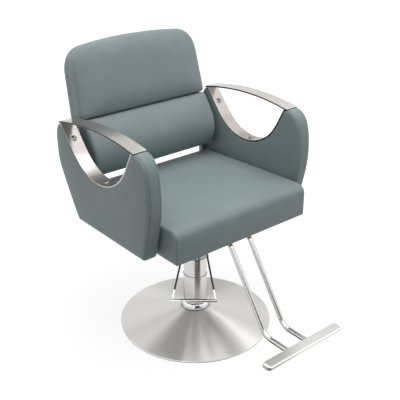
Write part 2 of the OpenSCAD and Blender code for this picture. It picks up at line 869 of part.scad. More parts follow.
module seat_frame() {
    color(wood) difference() {
        translate([-frame_half_w, -frame_front, frame_low])
            cube([2 * frame_half_w, frame_front + frame_rear, rail_h]);
        translate([rail_t - frame_half_w, rail_t - frame_front, frame_low - cut])
            cube([2 * (frame_half_w - rail_t), frame_front + frame_rear - 2 * rail_t,
                rail_h + 2 * cut]);
        both_sides() arm_bolt_places()
            cylinder(r = m8_r, h = core_out, $fn = 48);
    }
}

module cross_rails() {
    wide = frame_half_w - rail_t;
    color(wood) difference() {
        for (y = cross_rails_y) translate([-wide, y - cross_rail_w / 2, frame_low])
            cube([2 * wide, cross_rail_w, rail_t]);
        mount_bolt_places() cylinder(r = m8_r, h = mount_plate_t + rail_t - chamfer + bolt_gap);
        foot_screw_places() translate([0, 0, -cut])
            cylinder(r = m6_r, h = foot_plate_t + rail_t - chamfer + cut);
    }
}

module seat_board() {
    color(wood) translate([-frame_half_w, -frame_front, frame_top])
        cube([2 * frame_half_w, frame_front + frame_rear, board_t]);
}

module dust_cover() {
    inset = rail_t / 2;
    color(black) difference() {
        translate([inset - frame_half_w, inset - frame_front, frame_low - dust_t])
            cube([2 * (frame_half_w - inset), frame_front + frame_rear - 2 * inset, dust_t]);
        translate([-mount_plate_w / 2 - chamfer, -mount_plate_w / 2 - chamfer, frame_low - dust_t - cut])
            cube([mount_plate_w + 2 * chamfer, mount_plate_w + 2 * chamfer, dust_t + 2 * cut]);
        translate([-foot_plate_half_w - chamfer,
            -foot_plate_y - foot_plate_depth / 2 - chamfer, frame_low - dust_t - cut])
            cube([2 * (foot_plate_half_w + chamfer), foot_plate_depth + 2 * chamfer,
                dust_t + 2 * cut]);
    }
}

// Side profile of the seat at one place across it: spread runs from 0 in the middle to 1
function seat_profile(spread) =
    let (
        bulge = seat_bulge * (1 - spread * spread),
        crown = seat_crown * (1 - spread * spread),
        top_front = seat_bottom + seat_seam_h,
        top_rear = top_front - seat_fall,
        fall_a = atan2(seat_fall, seat_front + seat_rear),
        foot_r = 2 * chamfer,
        front_c = [waterfall_r - seat_front, top_front - waterfall_r],
        rear_c = [seat_rear - seat_rear_r, top_rear - seat_rear_r],
        front_end = front_c + waterfall_r * [sin(fall_a), cos(fall_a)],
        rear_end = rear_c + seat_rear_r * [sin(fall_a), cos(fall_a)]
    )
    concat(
        arc([foot_r - seat_front, seat_bottom + foot_r], foot_r, 180, 270, 2),
        arc([seat_rear - foot_r, seat_bottom + foot_r], foot_r, -90, 0, 2),
        arc(rear_c, seat_rear_r, 0, 90 - fall_a, 5),
        [for (k = [1 : seat_steps - 1]) let (t = k / seat_steps)
            rear_end + (front_end - rear_end) * t + [0, crown * sin(180 * t)]],
        arc(front_c, waterfall_r, 90 - fall_a, 180, 6),
        [for (k = [1 : 2]) let (t = k / 3)
            [-seat_front - bulge * sin(180 * t),
                front_c.y + (seat_bottom + foot_r - front_c.y) * t]]);

// Stations from an end cap to the middle and back: place across, and how far the section is drawn in
function end_stations(half_w, r, turns, inner_shares) =
    let (
        half = concat(
            [for (a = turns) [half_w - r * (1 - sin(a)), r * (1 - cos(a))]],
            [for (t = inner_shares) [half_w * t, 0]])
    )
    concat([for (p = half) [-p.x, p.y]], [[0, 0]], reversed(half));

module seat_cushion() {
    line = end_stations(seat_half_w, seat_side_r, [90, 60, 30, 0], [0.7, 0.35]);
    color(hide) difference() {
        loft([for (p = line)
            [for (q = drawn_in(seat_profile(abs(p.x) / seat_half_w), p.y)) [p.x, q.x, q.y]]]);
        translate([-frame_half_w - soft_gap, -frame_front - soft_gap, seat_bottom - cut])
            cube([2 * (frame_half_w + soft_gap), frame_front + frame_rear + 2 * soft_gap,
                board_top - seat_bottom + soft_gap + cut]);
        both_sides() arm_bolt_places() cylinder(r = m8_r + soft_gap, h = core_out, $fn = 24);
    }
}

// Footrest

module footrest_plate() {
    color(steel) difference() {
        translate([-foot_plate_half_w, -foot_plate_y - foot_plate_depth / 2,
            frame_low - foot_plate_t])
            cube([2 * foot_plate_half_w, foot_plate_depth, foot_plate_t]);
        foot_screw_places() translate([0, 0, -cut]) cylinder(r = m6_r, h = foot_plate_t + 2 * cut);
    }
}

module foot_screw_places() {
    for (x = [-1, 1], y = [-1, 1])
        translate([x * foot_screw_x, y * foot_screw_y - foot_plate_y, frame_low - foot_plate_t])
            children();
}

// Path of a footrest tube: X is the distance in front of the column, Y the height
function foot_path() = [
    [foot_plate_y - foot_plate_depth / 2, foot_tube_z],
    [foot_tube_top_y, foot_tube_z],
    [foot_low_y, foot_tube_low_z],
    [foot_bar_y + foot_tube_r, foot_tube_low_z]
];

module footrest_tubes() {
    color(bright) for (s = [-1, 1]) translate([s * foot_tube_x, 0, 0]) rotate([90, 0, -90])
        bent_tube(foot_path(), [0, foot_bend_top, foot_bend_low, 0],
            foot_tube_r, foot_tube_r - foot_tube_t);
}

module bar_section(grow = 0) {
    r = foot_bar_t / 2 + grow;
    square([foot_bar_w - foot_bar_t, 2 * r], center = true);
    for (s = [-1, 1]) translate([s * (foot_bar_w - foot_bar_t) / 2, 0]) circle(r = r);
}

module at_bar() {
    translate([0, -foot_bar_y, foot_bar_low + foot_bar_t / 2]) children();
}

module footrest_bar() {
    color(satin) at_bar() translate([-foot_bar_l / 2, 0, 0]) rotate([90, 0, 90])
        linear_extrude(foot_bar_l) difference() {
            bar_section();
            bar_section(-foot_tube_t);
        }
}

module footrest_caps() {
    color(satin) both_sides() intersection() {
        at_bar() translate([foot_bar_l / 2, 0, 0]) rotate([90, 0, 90])
            linear_extrude(foot_cap_l) bar_section();
        translate([foot_bar_l / 2 + foot_cap_l - foot_bar_w / 2, -foot_bar_y, 0])
            cylinder(r = foot_bar_w / 2 + chamfer, h = foot_bar_low + 2 * foot_bar_t);
    }
}

// Arms

// Hoop line at a distance e inside its underside, from the front end to the rear end
function hoop_line(e) =
    let (
        c = [hoop_y, hoop_z],
        front_foot = c + (hoop_r - e) * [cos(270 - hoop_front_a), sin(270 - hoop_front_a)],
        rear_foot = c + (hoop_r - e) * [cos(270 + hoop_rear_a), sin(270 + hoop_rear_a)],
        front_way = [-cos(hoop_front_a), sin(hoop_front_a)],
        rear_way = [cos(hoop_rear_a), sin(hoop_rear_a)]
    )
    concat(
        [meet_strip(front_foot, front_way)],
        arc(c, hoop_r - e, 270 - hoop_front_a, 270 + hoop_rear_a, arc_steps),
        [meet_strip(rear_foot, rear_way)]);

// Where a leg of the hoop meets the armrest strip's underside
function meet_strip(foot, way) =
    let (
        v = foot - [strip_peak, strip_z],
        r = strip_r - strip_t,
        b = v * way
    )
    foot + way * (sqrt(b * b - v * v + r * r) - b);

function arm_edge(shares) =
    [for (s = shares) [s[0] * arm_len - arm_front, arm_bottom + s[1] * arm_h]];

function strip_under(y) =
    strip_z + sqrt(pow(strip_r - strip_t, 2) - pow(y - strip_peak, 2));

function arm_front_line() = smooth_open(arm_edge(arm_front_shares), curve_steps);
function arm_rear_line() = smooth_open(arm_edge(arm_rear_shares), curve_steps);

// The strip's front end butts against the upholstery here
strip_stop = -strip_front - soft_gap;
horn_top = [strip_stop, strip_under(-strip_front) + strip_t];
horn_low = [strip_stop, strip_under(-strip_front)];
heel = [strip_rear, strip_under(strip_rear)];

// The arm's outline, counter-clockwise with Y to the right: rear edge, hoop, horn, front edge
function arm_outline() = concat(
    reversed(arm_rear_line()), [heel], reversed(hoop_line(0)),
    [horn_low, horn_top], reversed(arm_front_line()));

// Upholstered panel between two planes of X: each ring is [place, how far it is drawn in]
module arm_panel(rings) {
    front = reversed(arm_front_line());
    rear = reversed(arm_rear_line());
    ridge = [strip_peak, strip_top + 4 * strip_t];
    outline = concat(rear, [ridge], front);
    weights = concat([for (p = rear) 1], [0], [for (p = front) 1]);
    difference() {
        loft([for (r = rings) [for (p = drawn_in(outline, r[1], weights)) [r[0], p.x, p.y]]]);
        along_x(rings[0][0] - cut, rings[len(rings) - 1][0] + cut)
            polygon(concat(hoop_line(0), [heel, [strip_rear, strip_top + arm_h],
                [strip_stop, strip_top + arm_h], horn_low]));
    }
}

module arm_core_outline() {
    intersection() {
        polygon(arm_outline());
        offset(delta = -arm_band_w)
            polygon(concat(reversed(arm_rear_line()), reversed(arm_front_line())));
    }
}

module arm_bolt_places() {
    for (y = arm_bolt_y)
        translate([frame_half_w - rail_t, y, frame_low + seat_bolt_h]) rotate([0, 90, 0]) children();
}

module arm_dowel_places() {
    in_back() for (t = arm_dowel_shares)
        translate([upright_in + upright_t / 2, pad_depth / 2, lumbar_low * t])
        rotate([0, 90, 0]) children();
}

// Places of the hoop's screws, with +Z along the screw, out of the hoop's upper face
module hoop_screw_places() {
    seat_r = hoop_r - hoop_t;
    step = (hoop_front_a + hoop_rear_a) / arc_steps;
    chord_rise = pow(hoop_screw_d / 2, 2) / seat_r / 2 + seat_r * (1 - cos(step / 2));
    translate([steel_in + steel_w / 2, hoop_y, hoop_z]) {
        rotate([-foot_screw_a, 0, 0]) translate([0, 0, chord_rise - seat_r]) children();
        rotate([hoop_rear_a, 0, 0]) translate([0, leg_screw_up, -seat_r]) children();
    }
}

module arm_core(side) {
    color(wood) on_side(side) difference() {
        along_x(core_in, core_out) arm_core_outline();
        arm_bolt_places() cylinder(r = m8_r, h = core_out - frame_half_w + rail_t - m8_r);
        arm_dowel_places() cylinder(r = dowel_r, h = core_in - upright_in);
        hoop_screw_places() translate([0, 0, -hoop_screw_d * 2])
            cylinder(r = m8_r, h = hoop_screw_d * 2 + cut);
    }
}

module arm_band(side) {
    color(hide) on_side(side) along_x(core_in, core_out) difference() {
        polygon(arm_outline());
        arm_core_outline();
    }
}

module arm_outer_pad(side) {
    color(hide) on_side(side) arm_panel([
        [core_out, 0],
        [core_out + arm_outer_t * 0.4, pad_round * 0.02],
        [core_out + arm_outer_t * 0.7, pad_round * 0.18],
        [core_out + arm_outer_t * 0.9, pad_round * 0.45],
        [arm_out, pad_round]
    ]);
}

module arm_inner_pad(side) {
    color(hide) on_side(side) difference() {
        arm_panel([
            [arm_inner, pad_round * 0.7],
            [core_in - arm_inner_t * 0.9, pad_round * 0.3],
            [core_in - arm_inner_t * 0.7, pad_round * 0.1],
            [core_in - arm_inner_t * 0.4, 0],
            [core_in, 0]
        ]);
        arm_bolt_places() cylinder(r = m8_r + soft_gap, h = core_out, $fn = 24);
        arm_dowel_places() cylinder(r = dowel_r + soft_gap, h = core_out, $fn = 24);
    }
}

module armrest_strip(side) {
    color(satin) on_side(side) along_x(steel_in, steel_in + steel_w) intersection() {
        difference() {
            translate([strip_peak, strip_z]) circle(r = strip_r, $fn = 360);
            translate([strip_peak, strip_z]) circle(r = strip_r - strip_t, $fn = 360);
        }
        translate([-strip_front, strip_z]) square([strip_front + strip_rear, 2 * strip_r]);
    }
}

module arm_hoop(side) {
    color(satin) on_side(side) difference() {
        along_x(steel_in, steel_in + steel_w)
            polygon(concat(hoop_line(0), reversed(hoop_line(hoop_t))));
        hoop_screw_places() translate([0, 0, -hoop_t - cut]) cylinder(r = m8_r, h = hoop_t + 2 * cut);
    }
}

module dome_screw() {
    r = hoop_screw_d / 2;
    high = r / 2;
    steps = 6;
    difference() {
        union() {
            rotate_extrude() polygon(concat([[0, 0]],
                [for (k = [0 : steps]) let (a = 90 * k / steps) [r * cos(a), high * sin(a)]]));
            translate([0, 0, -2 * hoop_screw_d + r]) cylinder(r = m8_r - bolt_gap,
                h = 2 * hoop_screw_d - r + high / 2);
        }
        translate([0, 0, high / 2]) cylinder(r = r / 3, h = high, $fn = 6);
    }
}

module hoop_screws() {
    color(bright) both_sides() hoop_screw_places() dome_screw();
}

module arm_bolts() {
    color(steel) both_sides() arm_bolt_places()
        hex_bolt(m8_r, core_out - frame_half_w + rail_t - 2 * m8_r);
}

// Back

module back_upright(side) {
    low = lumbar_low - 2 * chamfer;
    color(hide) on_side(side) difference() {
        union() {
            // Post between the arm and the back pads, in the reclined frame
            in_back() along_x(upright_in, upright_in + upright_t) polygon([
                [upright_front, low], [upright_back, low + upright_foot_rise],
                [upright_back, upright_top], [upright_front, upright_top]]);
            translate([upright_in, seat_rear + upright_off, board_top])
                cube([upright_t, upright_t, upright_t * upright_foot_share]);
        }
        arm_dowel_places() cylinder(r = dowel_r, h = core_in);
        in_back() board_dowel_places() cylinder(r = dowel_r, h = upright_in);
    }
}

module board_dowel_places() {
    for (t = board_dowel_shares)
        translate([lumbar_half_w - 2 * pocket_wall, board_y + back_board_t / 2, lumbar_low * t])
            rotate([0, 90, 0]) children();
}

module back_dowels() {
    color(steel) both_sides() {
        arm_dowel_places() cylinder(r = dowel_r - bolt_gap, h = core_in - upright_in);
        in_back() board_dowel_places()
            cylinder(r = dowel_r - bolt_gap, h = 2 * pocket_wall + upright_t / 2);
    }
}

// Front view of the upper pad in the reclined frame, drawn in by d
function upper_outline(d) =
    let (
        half = upper_half_w - d,
        top_r = max(upper_top_r - d, chamfer),
        low_r = max(upper_low_r - d, chamfer),
        corner_x = half - top_r,
        end_x = corner_x + top_r * sin(upper_arch_a),
        arch_r = end_x / sin(upper_arch_a),
        arch_z = upper_h - d - arch_r,
        corner_z = arch_z + arch_r * cos(upper_arch_a) - top_r * cos(upper_arch_a)
    )
    concat(
        arc([low_r - half, d + low_r], low_r, 180, 270, 3),
        [for (k = [1 : 5]) [(half - low_r) * (k / 3 - 1), d]],
        arc([half - low_r, d + low_r], low_r, 270, 360, 3),
        [for (k = [1 : 2]) [half, d + low_r + (corner_z - d - low_r) * k / 3]],
        arc([corner_x, corner_z], top_r, 0, 90 - upper_arch_a, 6),
        [for (k = [1 : 5]) let (a = upper_arch_a * (1 - k / 3)) [arch_r * sin(a), arch_z + arch_r * cos(a)]],
        arc([-corner_x, corner_z], top_r, 90 + upper_arch_a, 180, 6),
        [for (k = [1 : 2]) [-half, corner_z + (d + low_r - corner_z) * k / 3]]);

module upper_pad() {
    round_r = 6;
    waist = 1.5;
    mid = [0, upper_h / 2];
    rim = upper_outline(0);
    // Share of the way to the middle, and share of the crown, of the rings of the front face
    crown_shares = [[0.05, 0.3], [0.13, 0.52], [0.26, 0.76], [0.48, 0.93], [0.74, 0.99], [0.93, 1]];
    rings = concat(
        [for (s = reversed(crown_shares))
            [for (p = rim) let (q = p + (mid - p) * s[0]) [q.x, -upper_crown * s[1], q.y]]],
        [[for (p = upper_outline(round_r / 3)) [p.x, round_r / 6, p.y]]],
        [[for (p = rim) [p.x, round_r, p.y]]],
        [[for (p = upper_outline(waist)) [p.x, pad_depth / 2, p.y]]],
        [[for (p = rim) [p.x, pad_depth - round_r, p.y]]],
        [[for (p = upper_outline(round_r / 2)) [p.x, pad_depth, p.y]]]);
    color(hide) in_back() difference() {
        loft([for (r = rings) reversed(r)], fans = true);
        translate([0, pad_depth + cut, 0]) rotate([90, 0, 0])
            linear_extrude(pad_depth + cut - board_y + soft_gap)
            polygon(upper_outline(pocket_wall - soft_gap));
        strap_slots();
    }
}

module strap_slots() {
    for (s = [-1, 1])
        translate([s * strap_x - strap_w / 2 - soft_gap, board_back - soft_gap, -strap_reach])
            cube([strap_w + 2 * soft_gap, pad_depth, 2 * strap_reach]);
}

module upper_board() {
    color(wood) in_back() translate([0, board_back, 0]) rotate([90, 0, 0])
        difference() {
            linear_extrude(back_board_t) polygon(upper_outline(pocket_wall));
            strap_screw_places(1) cylinder(r = m6_r, h = back_board_t);
        }
}

// Screws of the straps: +Z runs forward into the board; rows counts up from the joint of the pads
module strap_screw_places(way) {
    for (s = [-1, 1], z = [strap_reach / 3, strap_reach * 5 / 6])
        translate([s * strap_x, way * z, -back_strap_t]) children();
}

module lumbar_pocket(depth_from, depth_to, gap) {
    translate([-lumbar_half_w + pocket_wall - gap, depth_from, lumbar_low + pocket_wall - gap])
        cube([2 * (lumbar_half_w - pocket_wall + gap), depth_to - depth_from,
            lumbar_h - 2 * pocket_wall + 2 * gap]);
}

function lumbar_outline(swell) =
    [for (p = smooth_closed(lumbar_shares, 2))
        [p[0] * lumbar_depth - lumbar_bulge - swell * (1 - p[0]), lumbar_low + p[1] * lumbar_h]];

module lumbar_pad() {
    end_r = 6;
    swell = 2;
    line = end_stations(lumbar_half_w, end_r, [90, 50, 0], [0.6]);
    color(hide) in_back() difference() {
        loft([for (p = line)
            [for (q = drawn_in(lumbar_outline(swell * (1 - pow(p.x / lumbar_half_w, 2))), p.y))
                [p.x, q.x, q.y]]], fans = true);
        lumbar_pocket(board_y - soft_gap, pad_depth + cut, 0);
        strap_slots();
        both_sides() board_dowel_places() cylinder(r = dowel_r + soft_gap, h = upright_in, $fn = 24);
    }
}

module lumbar_board() {
    color(wood) in_back() difference() {
        lumbar_pocket(board_y, board_back, -soft_gap);
        both_sides() board_dowel_places() cylinder(r = dowel_r, h = upright_in);
        translate([0, board_back, 0]) rotate([90, 0, 0])
            strap_screw_places(-1) cylinder(r = m6_r, h = back_board_t);
    }
}

module back_straps() {
    color(steel) in_back() difference() {
        for (s = [-1, 1]) translate([s * strap_x - strap_w / 2, board_back, -strap_reach])
            cube([strap_w, back_strap_t, 2 * strap_reach]);
        translate([0, board_back, 0]) rotate([90, 0, 0]) for (way = [-1, 1])
            strap_screw_places(way) translate([0, 0, -cut])
            cylinder(r = m6_r, h = back_strap_t + 2 * cut);
    }
}

module wood_screw(shank) {
    high = m6_r * 1.1;
    cylinder(r = m6_r - bolt_gap, h = shank);
    translate([0, 0, -high]) cylinder(r1 = m6_r, r2 = m6_r * 1.9, h = high);
}

module wood_screws() {
    color(steel) {
        in_back() translate([0, board_back, 0]) rotate([90, 0, 0]) for (way = [-1, 1])
            strap_screw_places(way) cylinder(r = m6_r - bolt_gap, h = back_strap_t + back_board_t / 2);
        foot_screw_places() wood_screw(foot_plate_t + rail_t - 2 * chamfer);
    }
}

module lumbar_rear_panel() {
    color(hide) in_back() lumbar_pocket(strap_back + soft_gap, pad_depth, -soft_gap);
}

module upper_rear_panel() {
    color(hide) in_back() translate([0, pad_depth, 0]) rotate([90, 0, 0])
        linear_extrude(pad_depth - strap_back - soft_gap) polygon(upper_outline(pocket_wall));
}

floor_pad();
base_plate();
base_shell();
guide_tube();
flange_bolts();
guide_bush();
piston_rod();
piston_seal();
collar_gasket();
collar_ring();
lower_cover();
pump_cylinder();
cylinder_gland();
upper_cover();
cover_gasket();
pump_head();
spindle();
thrust_washer();
pivot_pin();
pump_plunger();
pedal_yoke();
pedal_stirrup();
pedal_sleeves();
swivel_socket();
mount_plate();
mount_bolts();
seat_frame();
cross_rails();
seat_board();
seat_cushion();
dust_cover();
footrest_plate();
footrest_tubes();
footrest_bar();
footrest_caps();
arm_core("left");  // arm_core_left
arm_core("right");  // arm_core_right
arm_band("left");  // arm_band_left
arm_band("right");  // arm_band_right
arm_outer_pad("left");  // arm_outer_pad_left
arm_outer_pad("right");  // arm_outer_pad_right
arm_inner_pad("left");  // arm_inner_pad_left
arm_inner_pad("right");  // arm_inner_pad_right
armrest_strip("left");  // armrest_strip_left
armrest_strip("right");  // armrest_strip_right
arm_hoop("left");  // arm_hoop_left
arm_hoop("right");  // arm_hoop_right
hoop_screws();
arm_bolts();
back_upright("left");  // back_upright_left
back_upright("right");  // back_upright_right
back_dowels();
lumbar_board();
lumbar_pad();
upper_board();
upper_pad();
back_straps();
wood_screws();
lumbar_rear_panel();
upper_rear_panel();
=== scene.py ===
# %% [markdown]
# # A hydraulic salon chair
# The measured CAD model is the skeleton of this scene: every steel, wood and rubber piece is
# already at its place and true to size. Here the chair gets its looks: leather upholstery
# that is padded and sewn, spun and brushed steel, and plain studio light. The frame is loaded
# first and never changed, so that whatever we add can be measured against it.

# %% Load the measured frame
import json
import math

import bmesh
import bpy
import numpy as np
from mathutils import Matrix, Vector
from mathutils.bvhtree import BVHTree
from mathutils.kdtree import KDTree

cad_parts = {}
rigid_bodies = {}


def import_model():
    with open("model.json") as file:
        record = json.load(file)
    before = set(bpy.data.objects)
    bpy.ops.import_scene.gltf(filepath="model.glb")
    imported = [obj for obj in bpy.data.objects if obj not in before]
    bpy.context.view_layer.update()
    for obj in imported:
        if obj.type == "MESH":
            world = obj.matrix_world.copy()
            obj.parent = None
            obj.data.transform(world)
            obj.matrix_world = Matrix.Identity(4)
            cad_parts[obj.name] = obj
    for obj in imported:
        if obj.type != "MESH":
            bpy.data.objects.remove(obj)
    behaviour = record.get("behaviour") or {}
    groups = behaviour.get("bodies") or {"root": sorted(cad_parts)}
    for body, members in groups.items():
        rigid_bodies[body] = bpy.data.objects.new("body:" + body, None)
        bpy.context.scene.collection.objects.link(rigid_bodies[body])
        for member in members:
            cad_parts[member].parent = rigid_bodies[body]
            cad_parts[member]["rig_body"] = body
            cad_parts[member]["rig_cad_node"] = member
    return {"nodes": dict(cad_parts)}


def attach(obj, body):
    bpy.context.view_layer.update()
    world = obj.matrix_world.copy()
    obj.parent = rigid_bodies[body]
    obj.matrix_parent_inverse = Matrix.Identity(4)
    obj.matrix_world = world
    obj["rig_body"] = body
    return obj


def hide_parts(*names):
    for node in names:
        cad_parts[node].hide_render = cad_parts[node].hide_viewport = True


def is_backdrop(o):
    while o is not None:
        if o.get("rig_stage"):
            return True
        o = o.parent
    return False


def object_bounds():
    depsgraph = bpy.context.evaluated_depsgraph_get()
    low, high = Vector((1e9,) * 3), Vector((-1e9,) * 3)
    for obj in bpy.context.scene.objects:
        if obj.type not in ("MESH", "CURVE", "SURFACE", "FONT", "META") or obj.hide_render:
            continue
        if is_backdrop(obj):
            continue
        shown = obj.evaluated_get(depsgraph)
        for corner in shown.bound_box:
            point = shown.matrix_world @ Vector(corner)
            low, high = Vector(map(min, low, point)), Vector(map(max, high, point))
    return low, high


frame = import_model()
nodes = frame["nodes"]
cad_low, cad_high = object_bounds()
MM = 0.001
print("CAD box in mm:", [round(v / MM) for v in (*cad_low, *cad_high)])

# %% [markdown]
# ## The camera
# A product photograph is taken with a short telephoto lens from standing height, which keeps
# the edges of a boxy seat nearly parallel. Position, direction and focal length were worked
# out from the vanishing lines of the seat and from the round base. The lens is written as the
# focal length in pixels of the picture, turned into millimetres of the sensor.

# %% Camera
PICTURE_PX = 400
FOCAL_PX = 733.6
CAMERA_AT = Vector((-1344.71, -1635.21, 1449.03)) * MM
CAMERA_AZIMUTH = math.radians(-39.863)
CAMERA_ELEVATION = math.radians(25.337)

bpy.ops.object.camera_add(
    location=CAMERA_AT, rotation=(math.pi / 2 - CAMERA_ELEVATION, 0, CAMERA_AZIMUTH)
)
camera = bpy.context.object
camera.name = "product_camera"
camera.data.lens = FOCAL_PX / PICTURE_PX * camera.data.sensor_width
bpy.context.scene.camera = camera
print("lens in mm:", round(camera.data.lens, 2))


# %% [markdown]
# ## Two small tools for materials
# Colours are picked as sRGB hex codes, which is how a swatch is named, while the renderer
# works with linear light, so one function converts them. The other function adds a node,
# sets it and wires it, which keeps each recipe below readable from top to bottom.


# %% Colour and node helpers
def swatch(code):
    """Linear colour with full opacity from an sRGB hex code such as 8a9698."""
    parts = [int(code[k : k + 2], 16) / 255 for k in (0, 2, 4)]
    linear = [c / 12.92 if c <= 0.04045 else ((c + 0.055) / 1.055) ** 2.4 for c in parts]
    return (*linear, 1)


def add(tree, kind, inputs, **settings):
    """Add one node; inputs maps each socket to a value or to another node's output."""
    made = tree.nodes.new("ShaderNode" + kind)
    for name, value in settings.items():
        setattr(made, name, value)
    for socket, value in inputs.items():
        if isinstance(value, bpy.types.NodeSocket):
            tree.links.new(value, made.inputs[socket])
        else:
            made.inputs[socket].default_value = value
    return made


def finish_of(name, **sockets):
    """New material with a Principled shader whose constant sockets are set directly."""
    material = bpy.data.materials.new(name)
    material.use_nodes = True
    shader = material.node_tree.nodes["Principled BSDF"]
    for socket, value in sockets.items():
        shader.inputs[socket.replace("_", " ")].default_value = value
    return material, material.node_tree, shader


# %% [markdown]
# ## Studio
# The chair stands on a seamless white sweep. Camera, glossy and transmitted rays see it white,
# so that the steel reflects the same room that the picture shows. The light itself is modest:
# a big soft box overhead, six weaker ones round the chair, and a weak even sky. The floor keeps
# the chair's shadow, because only a part of its white comes from glow.


# %% World
SKY_STRENGTH = 0.08
# The room is white up to 30 degrees above the horizon and then fades to a grey ceiling, which
# gives flat steel its darker parts. The first two numbers are heights on a sphere of radius 1.
WALL_TOP, CEILING_FROM, CEILING_GREY = 0.5, 0.82, 0.3


def seen_share(tree):
    """1 for camera, glossy and transmitted rays, 0 for the rays that light the chair."""
    ray = add(tree, "LightPath", {}).outputs
    first = add(tree, "Math", {0: ray["Is Camera Ray"], 1: ray["Is Glossy Ray"]}, operation="ADD")
    both = {0: first.outputs[0], 1: ray["Is Transmission Ray"]}
    return add(tree, "Math", both, operation="ADD", use_clamp=True).outputs[0]


world = bpy.data.worlds.new("white_studio")
world.use_nodes = True
bpy.context.scene.world = world
tree = world.node_tree
tree.nodes.clear()
heading = add(tree, "TexCoord", {}).outputs["Generated"]
height = add(tree, "SeparateXYZ", {0: heading}).outputs["Z"]
ceiling = add(tree, "ValToRGB", {"Fac": height})
ceiling.color_ramp.elements[0].position = WALL_TOP
ceiling.color_ramp.elements[0].color = (1, 1, 1, 1)
ceiling.color_ramp.elements[1].position = CEILING_FROM
ceiling.color_ramp.elements[1].color = (CEILING_GREY, CEILING_GREY, CEILING_GREY, 1)
sky = add(tree, "Background", {"Color": swatch("ffffff"), "Strength": SKY_STRENGTH})
sweep = add(tree, "Background", {"Color": ceiling.outputs["Color"], "Strength": 1.0})
both = add(tree, "MixShader", {0: seen_share(tree), 1: sky.outputs[0], 2: sweep.outputs[0]})
add(tree, "OutputWorld", {"Surface": both.outputs[0]})
bpy.context.scene.view_settings.view_transform = "Standard"
print("the sky lights the chair with a strength of", SKY_STRENGTH)

# %% Floor
FLOOR_SIDE = 14
FLOOR_GLOW = 0.6
# The paper glows more away from the chair, where the lamps reach less; distances are in metres
NEAR, NEAR_GLOW, FAR, FAR_GLOW = 0.4, 1.42, 1.6, 1.75

bpy.ops.mesh.primitive_plane_add(size=FLOOR_SIDE, location=(0, 0, 0))
floor = bpy.context.object
floor.name = "studio_floor"
paper = bpy.data.materials.new("matt_white_paper")
paper.use_nodes = True
tree = paper.node_tree
tree.nodes.clear()
share = add(tree, "Math", {0: seen_share(tree), 1: FLOOR_GLOW}, operation="MULTIPLY")
place = add(tree, "TexCoord", {}).outputs["Object"]
far = add(tree, "VectorMath", {0: place}, operation="LENGTH").outputs["Value"]
span = {"From Min": NEAR, "From Max": FAR, "To Min": NEAR_GLOW, "To Max": FAR_GLOW}
lift = add(tree, "MapRange", {"Value": far, **span})
matt = add(tree, "BsdfDiffuse", {"Color": swatch("d0d0d0")})
glow = add(tree, "Emission", {"Color": swatch("ffffff"), "Strength": lift.outputs["Result"]})
both = add(tree, "MixShader", {0: share.outputs[0], 1: matt.outputs[0], 2: glow.outputs[0]})
add(tree, "OutputMaterial", {"Surface": both.outputs[0]})
floor.data.materials.append(paper)
floor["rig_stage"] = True
print("the sweep is", FLOOR_SIDE, "m wide")


# %% Soft boxes
def soft_box(name, at, aim, size, watts):
    """Square area light that looks from one point at another."""
    at, aim = Vector(at), Vector(aim)
    turn = (aim - at).to_track_quat("-Z", "Y").to_euler()
    bpy.ops.object.light_add(type="AREA", location=at, rotation=turn)
    light = bpy.context.object
    light.name = name
    light.data.shape = "SQUARE"
    light.data.size = size
    light.data.energy = watts
    print(name, "stands", round((aim - at).length, 2), "m off")


soft_box("overhead_box", (0, 0, 3.0), (0, 0, 0.5), 2.2, 46)
soft_box("high_right_box", (1.6, -0.6, 2.5), (0, 0, 0.5), 2.4, 16)
soft_box("rear_left_box", (-2.0, 1.6, 1.8), (0, 0, 0.5), 2.0, 13.5)
soft_box("front_right_box", (2.0, -1.8, 1.6), (0, 0, 0.5), 2.2, 9.5)
soft_box("high_front_box", (0, -1.6, 2.7), (0, 0, 0.5), 1.5, 10)
soft_box("high_left_box", (-1.6, -1.2, 2.4), (0, 0, 0.5), 1.4, 4.5)
soft_box("left_box", (-2.6, 0, 1.3), (0, 0, 0.5), 1.4, 4)

# %% [markdown]
# A photographer shapes the reflections in bright steel with cards. Black felt on the floor and
# in front of the chair puts dark stripes into the column and the base. A white card above the
# lens and one at the right brighten the base and the front of the armrests, and two narrow
# slits draw thin lines into the base. They only count for reflections: they neither light the
# chair nor shade it.

# %% Cards for the reflections
CARD_GLOW, SLIT_GLOW = 1.2, 5.0

felt, tree, shader = finish_of("black_felt", Roughness=0.95)
shader.inputs["Base Color"].default_value = swatch("1a1a1a")
card, tree, shader = finish_of("lit_white_card", Roughness=0.9)
shader.inputs["Base Color"].default_value = swatch("ffffff")
shader.inputs["Emission Color"].default_value = swatch("ffffff")
shader.inputs["Emission Strength"].default_value = CARD_GLOW
slit, tree, shader = finish_of("slit_light", Roughness=0.9)
shader.inputs["Emission Color"].default_value = swatch("ffffff")
shader.inputs["Emission Strength"].default_value = SLIT_GLOW


def studio_card(name, surface, azimuth, away, height, tilt, width, length, near=1.0):
    """A card whose middle is away metres from the column; tilt 0 lies flat, 90 stands upright.

    The edge towards the column has near times the width of the outer one.
    """
    turn = math.radians(azimuth)
    bpy.ops.mesh.primitive_plane_add(size=1)
    sheet = bpy.context.object
    sheet.name = name
    for corner in sheet.data.vertices:
        corner.co.x *= near if corner.co.y > 0 else 1
    sheet.scale = (width, length, 1)
    sheet.rotation_euler = (math.radians(tilt), 0, turn)
    sheet.location = (math.sin(turn) * away, -math.cos(turn) * away, height)
    bpy.ops.object.transform_apply(location=True, rotation=True, scale=True)
    sheet.data.materials.append(surface)
    sheet.visible_camera = sheet.visible_diffuse = sheet.visible_shadow = False
    sheet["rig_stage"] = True
    print(name, "is", width, "by", length, "m")


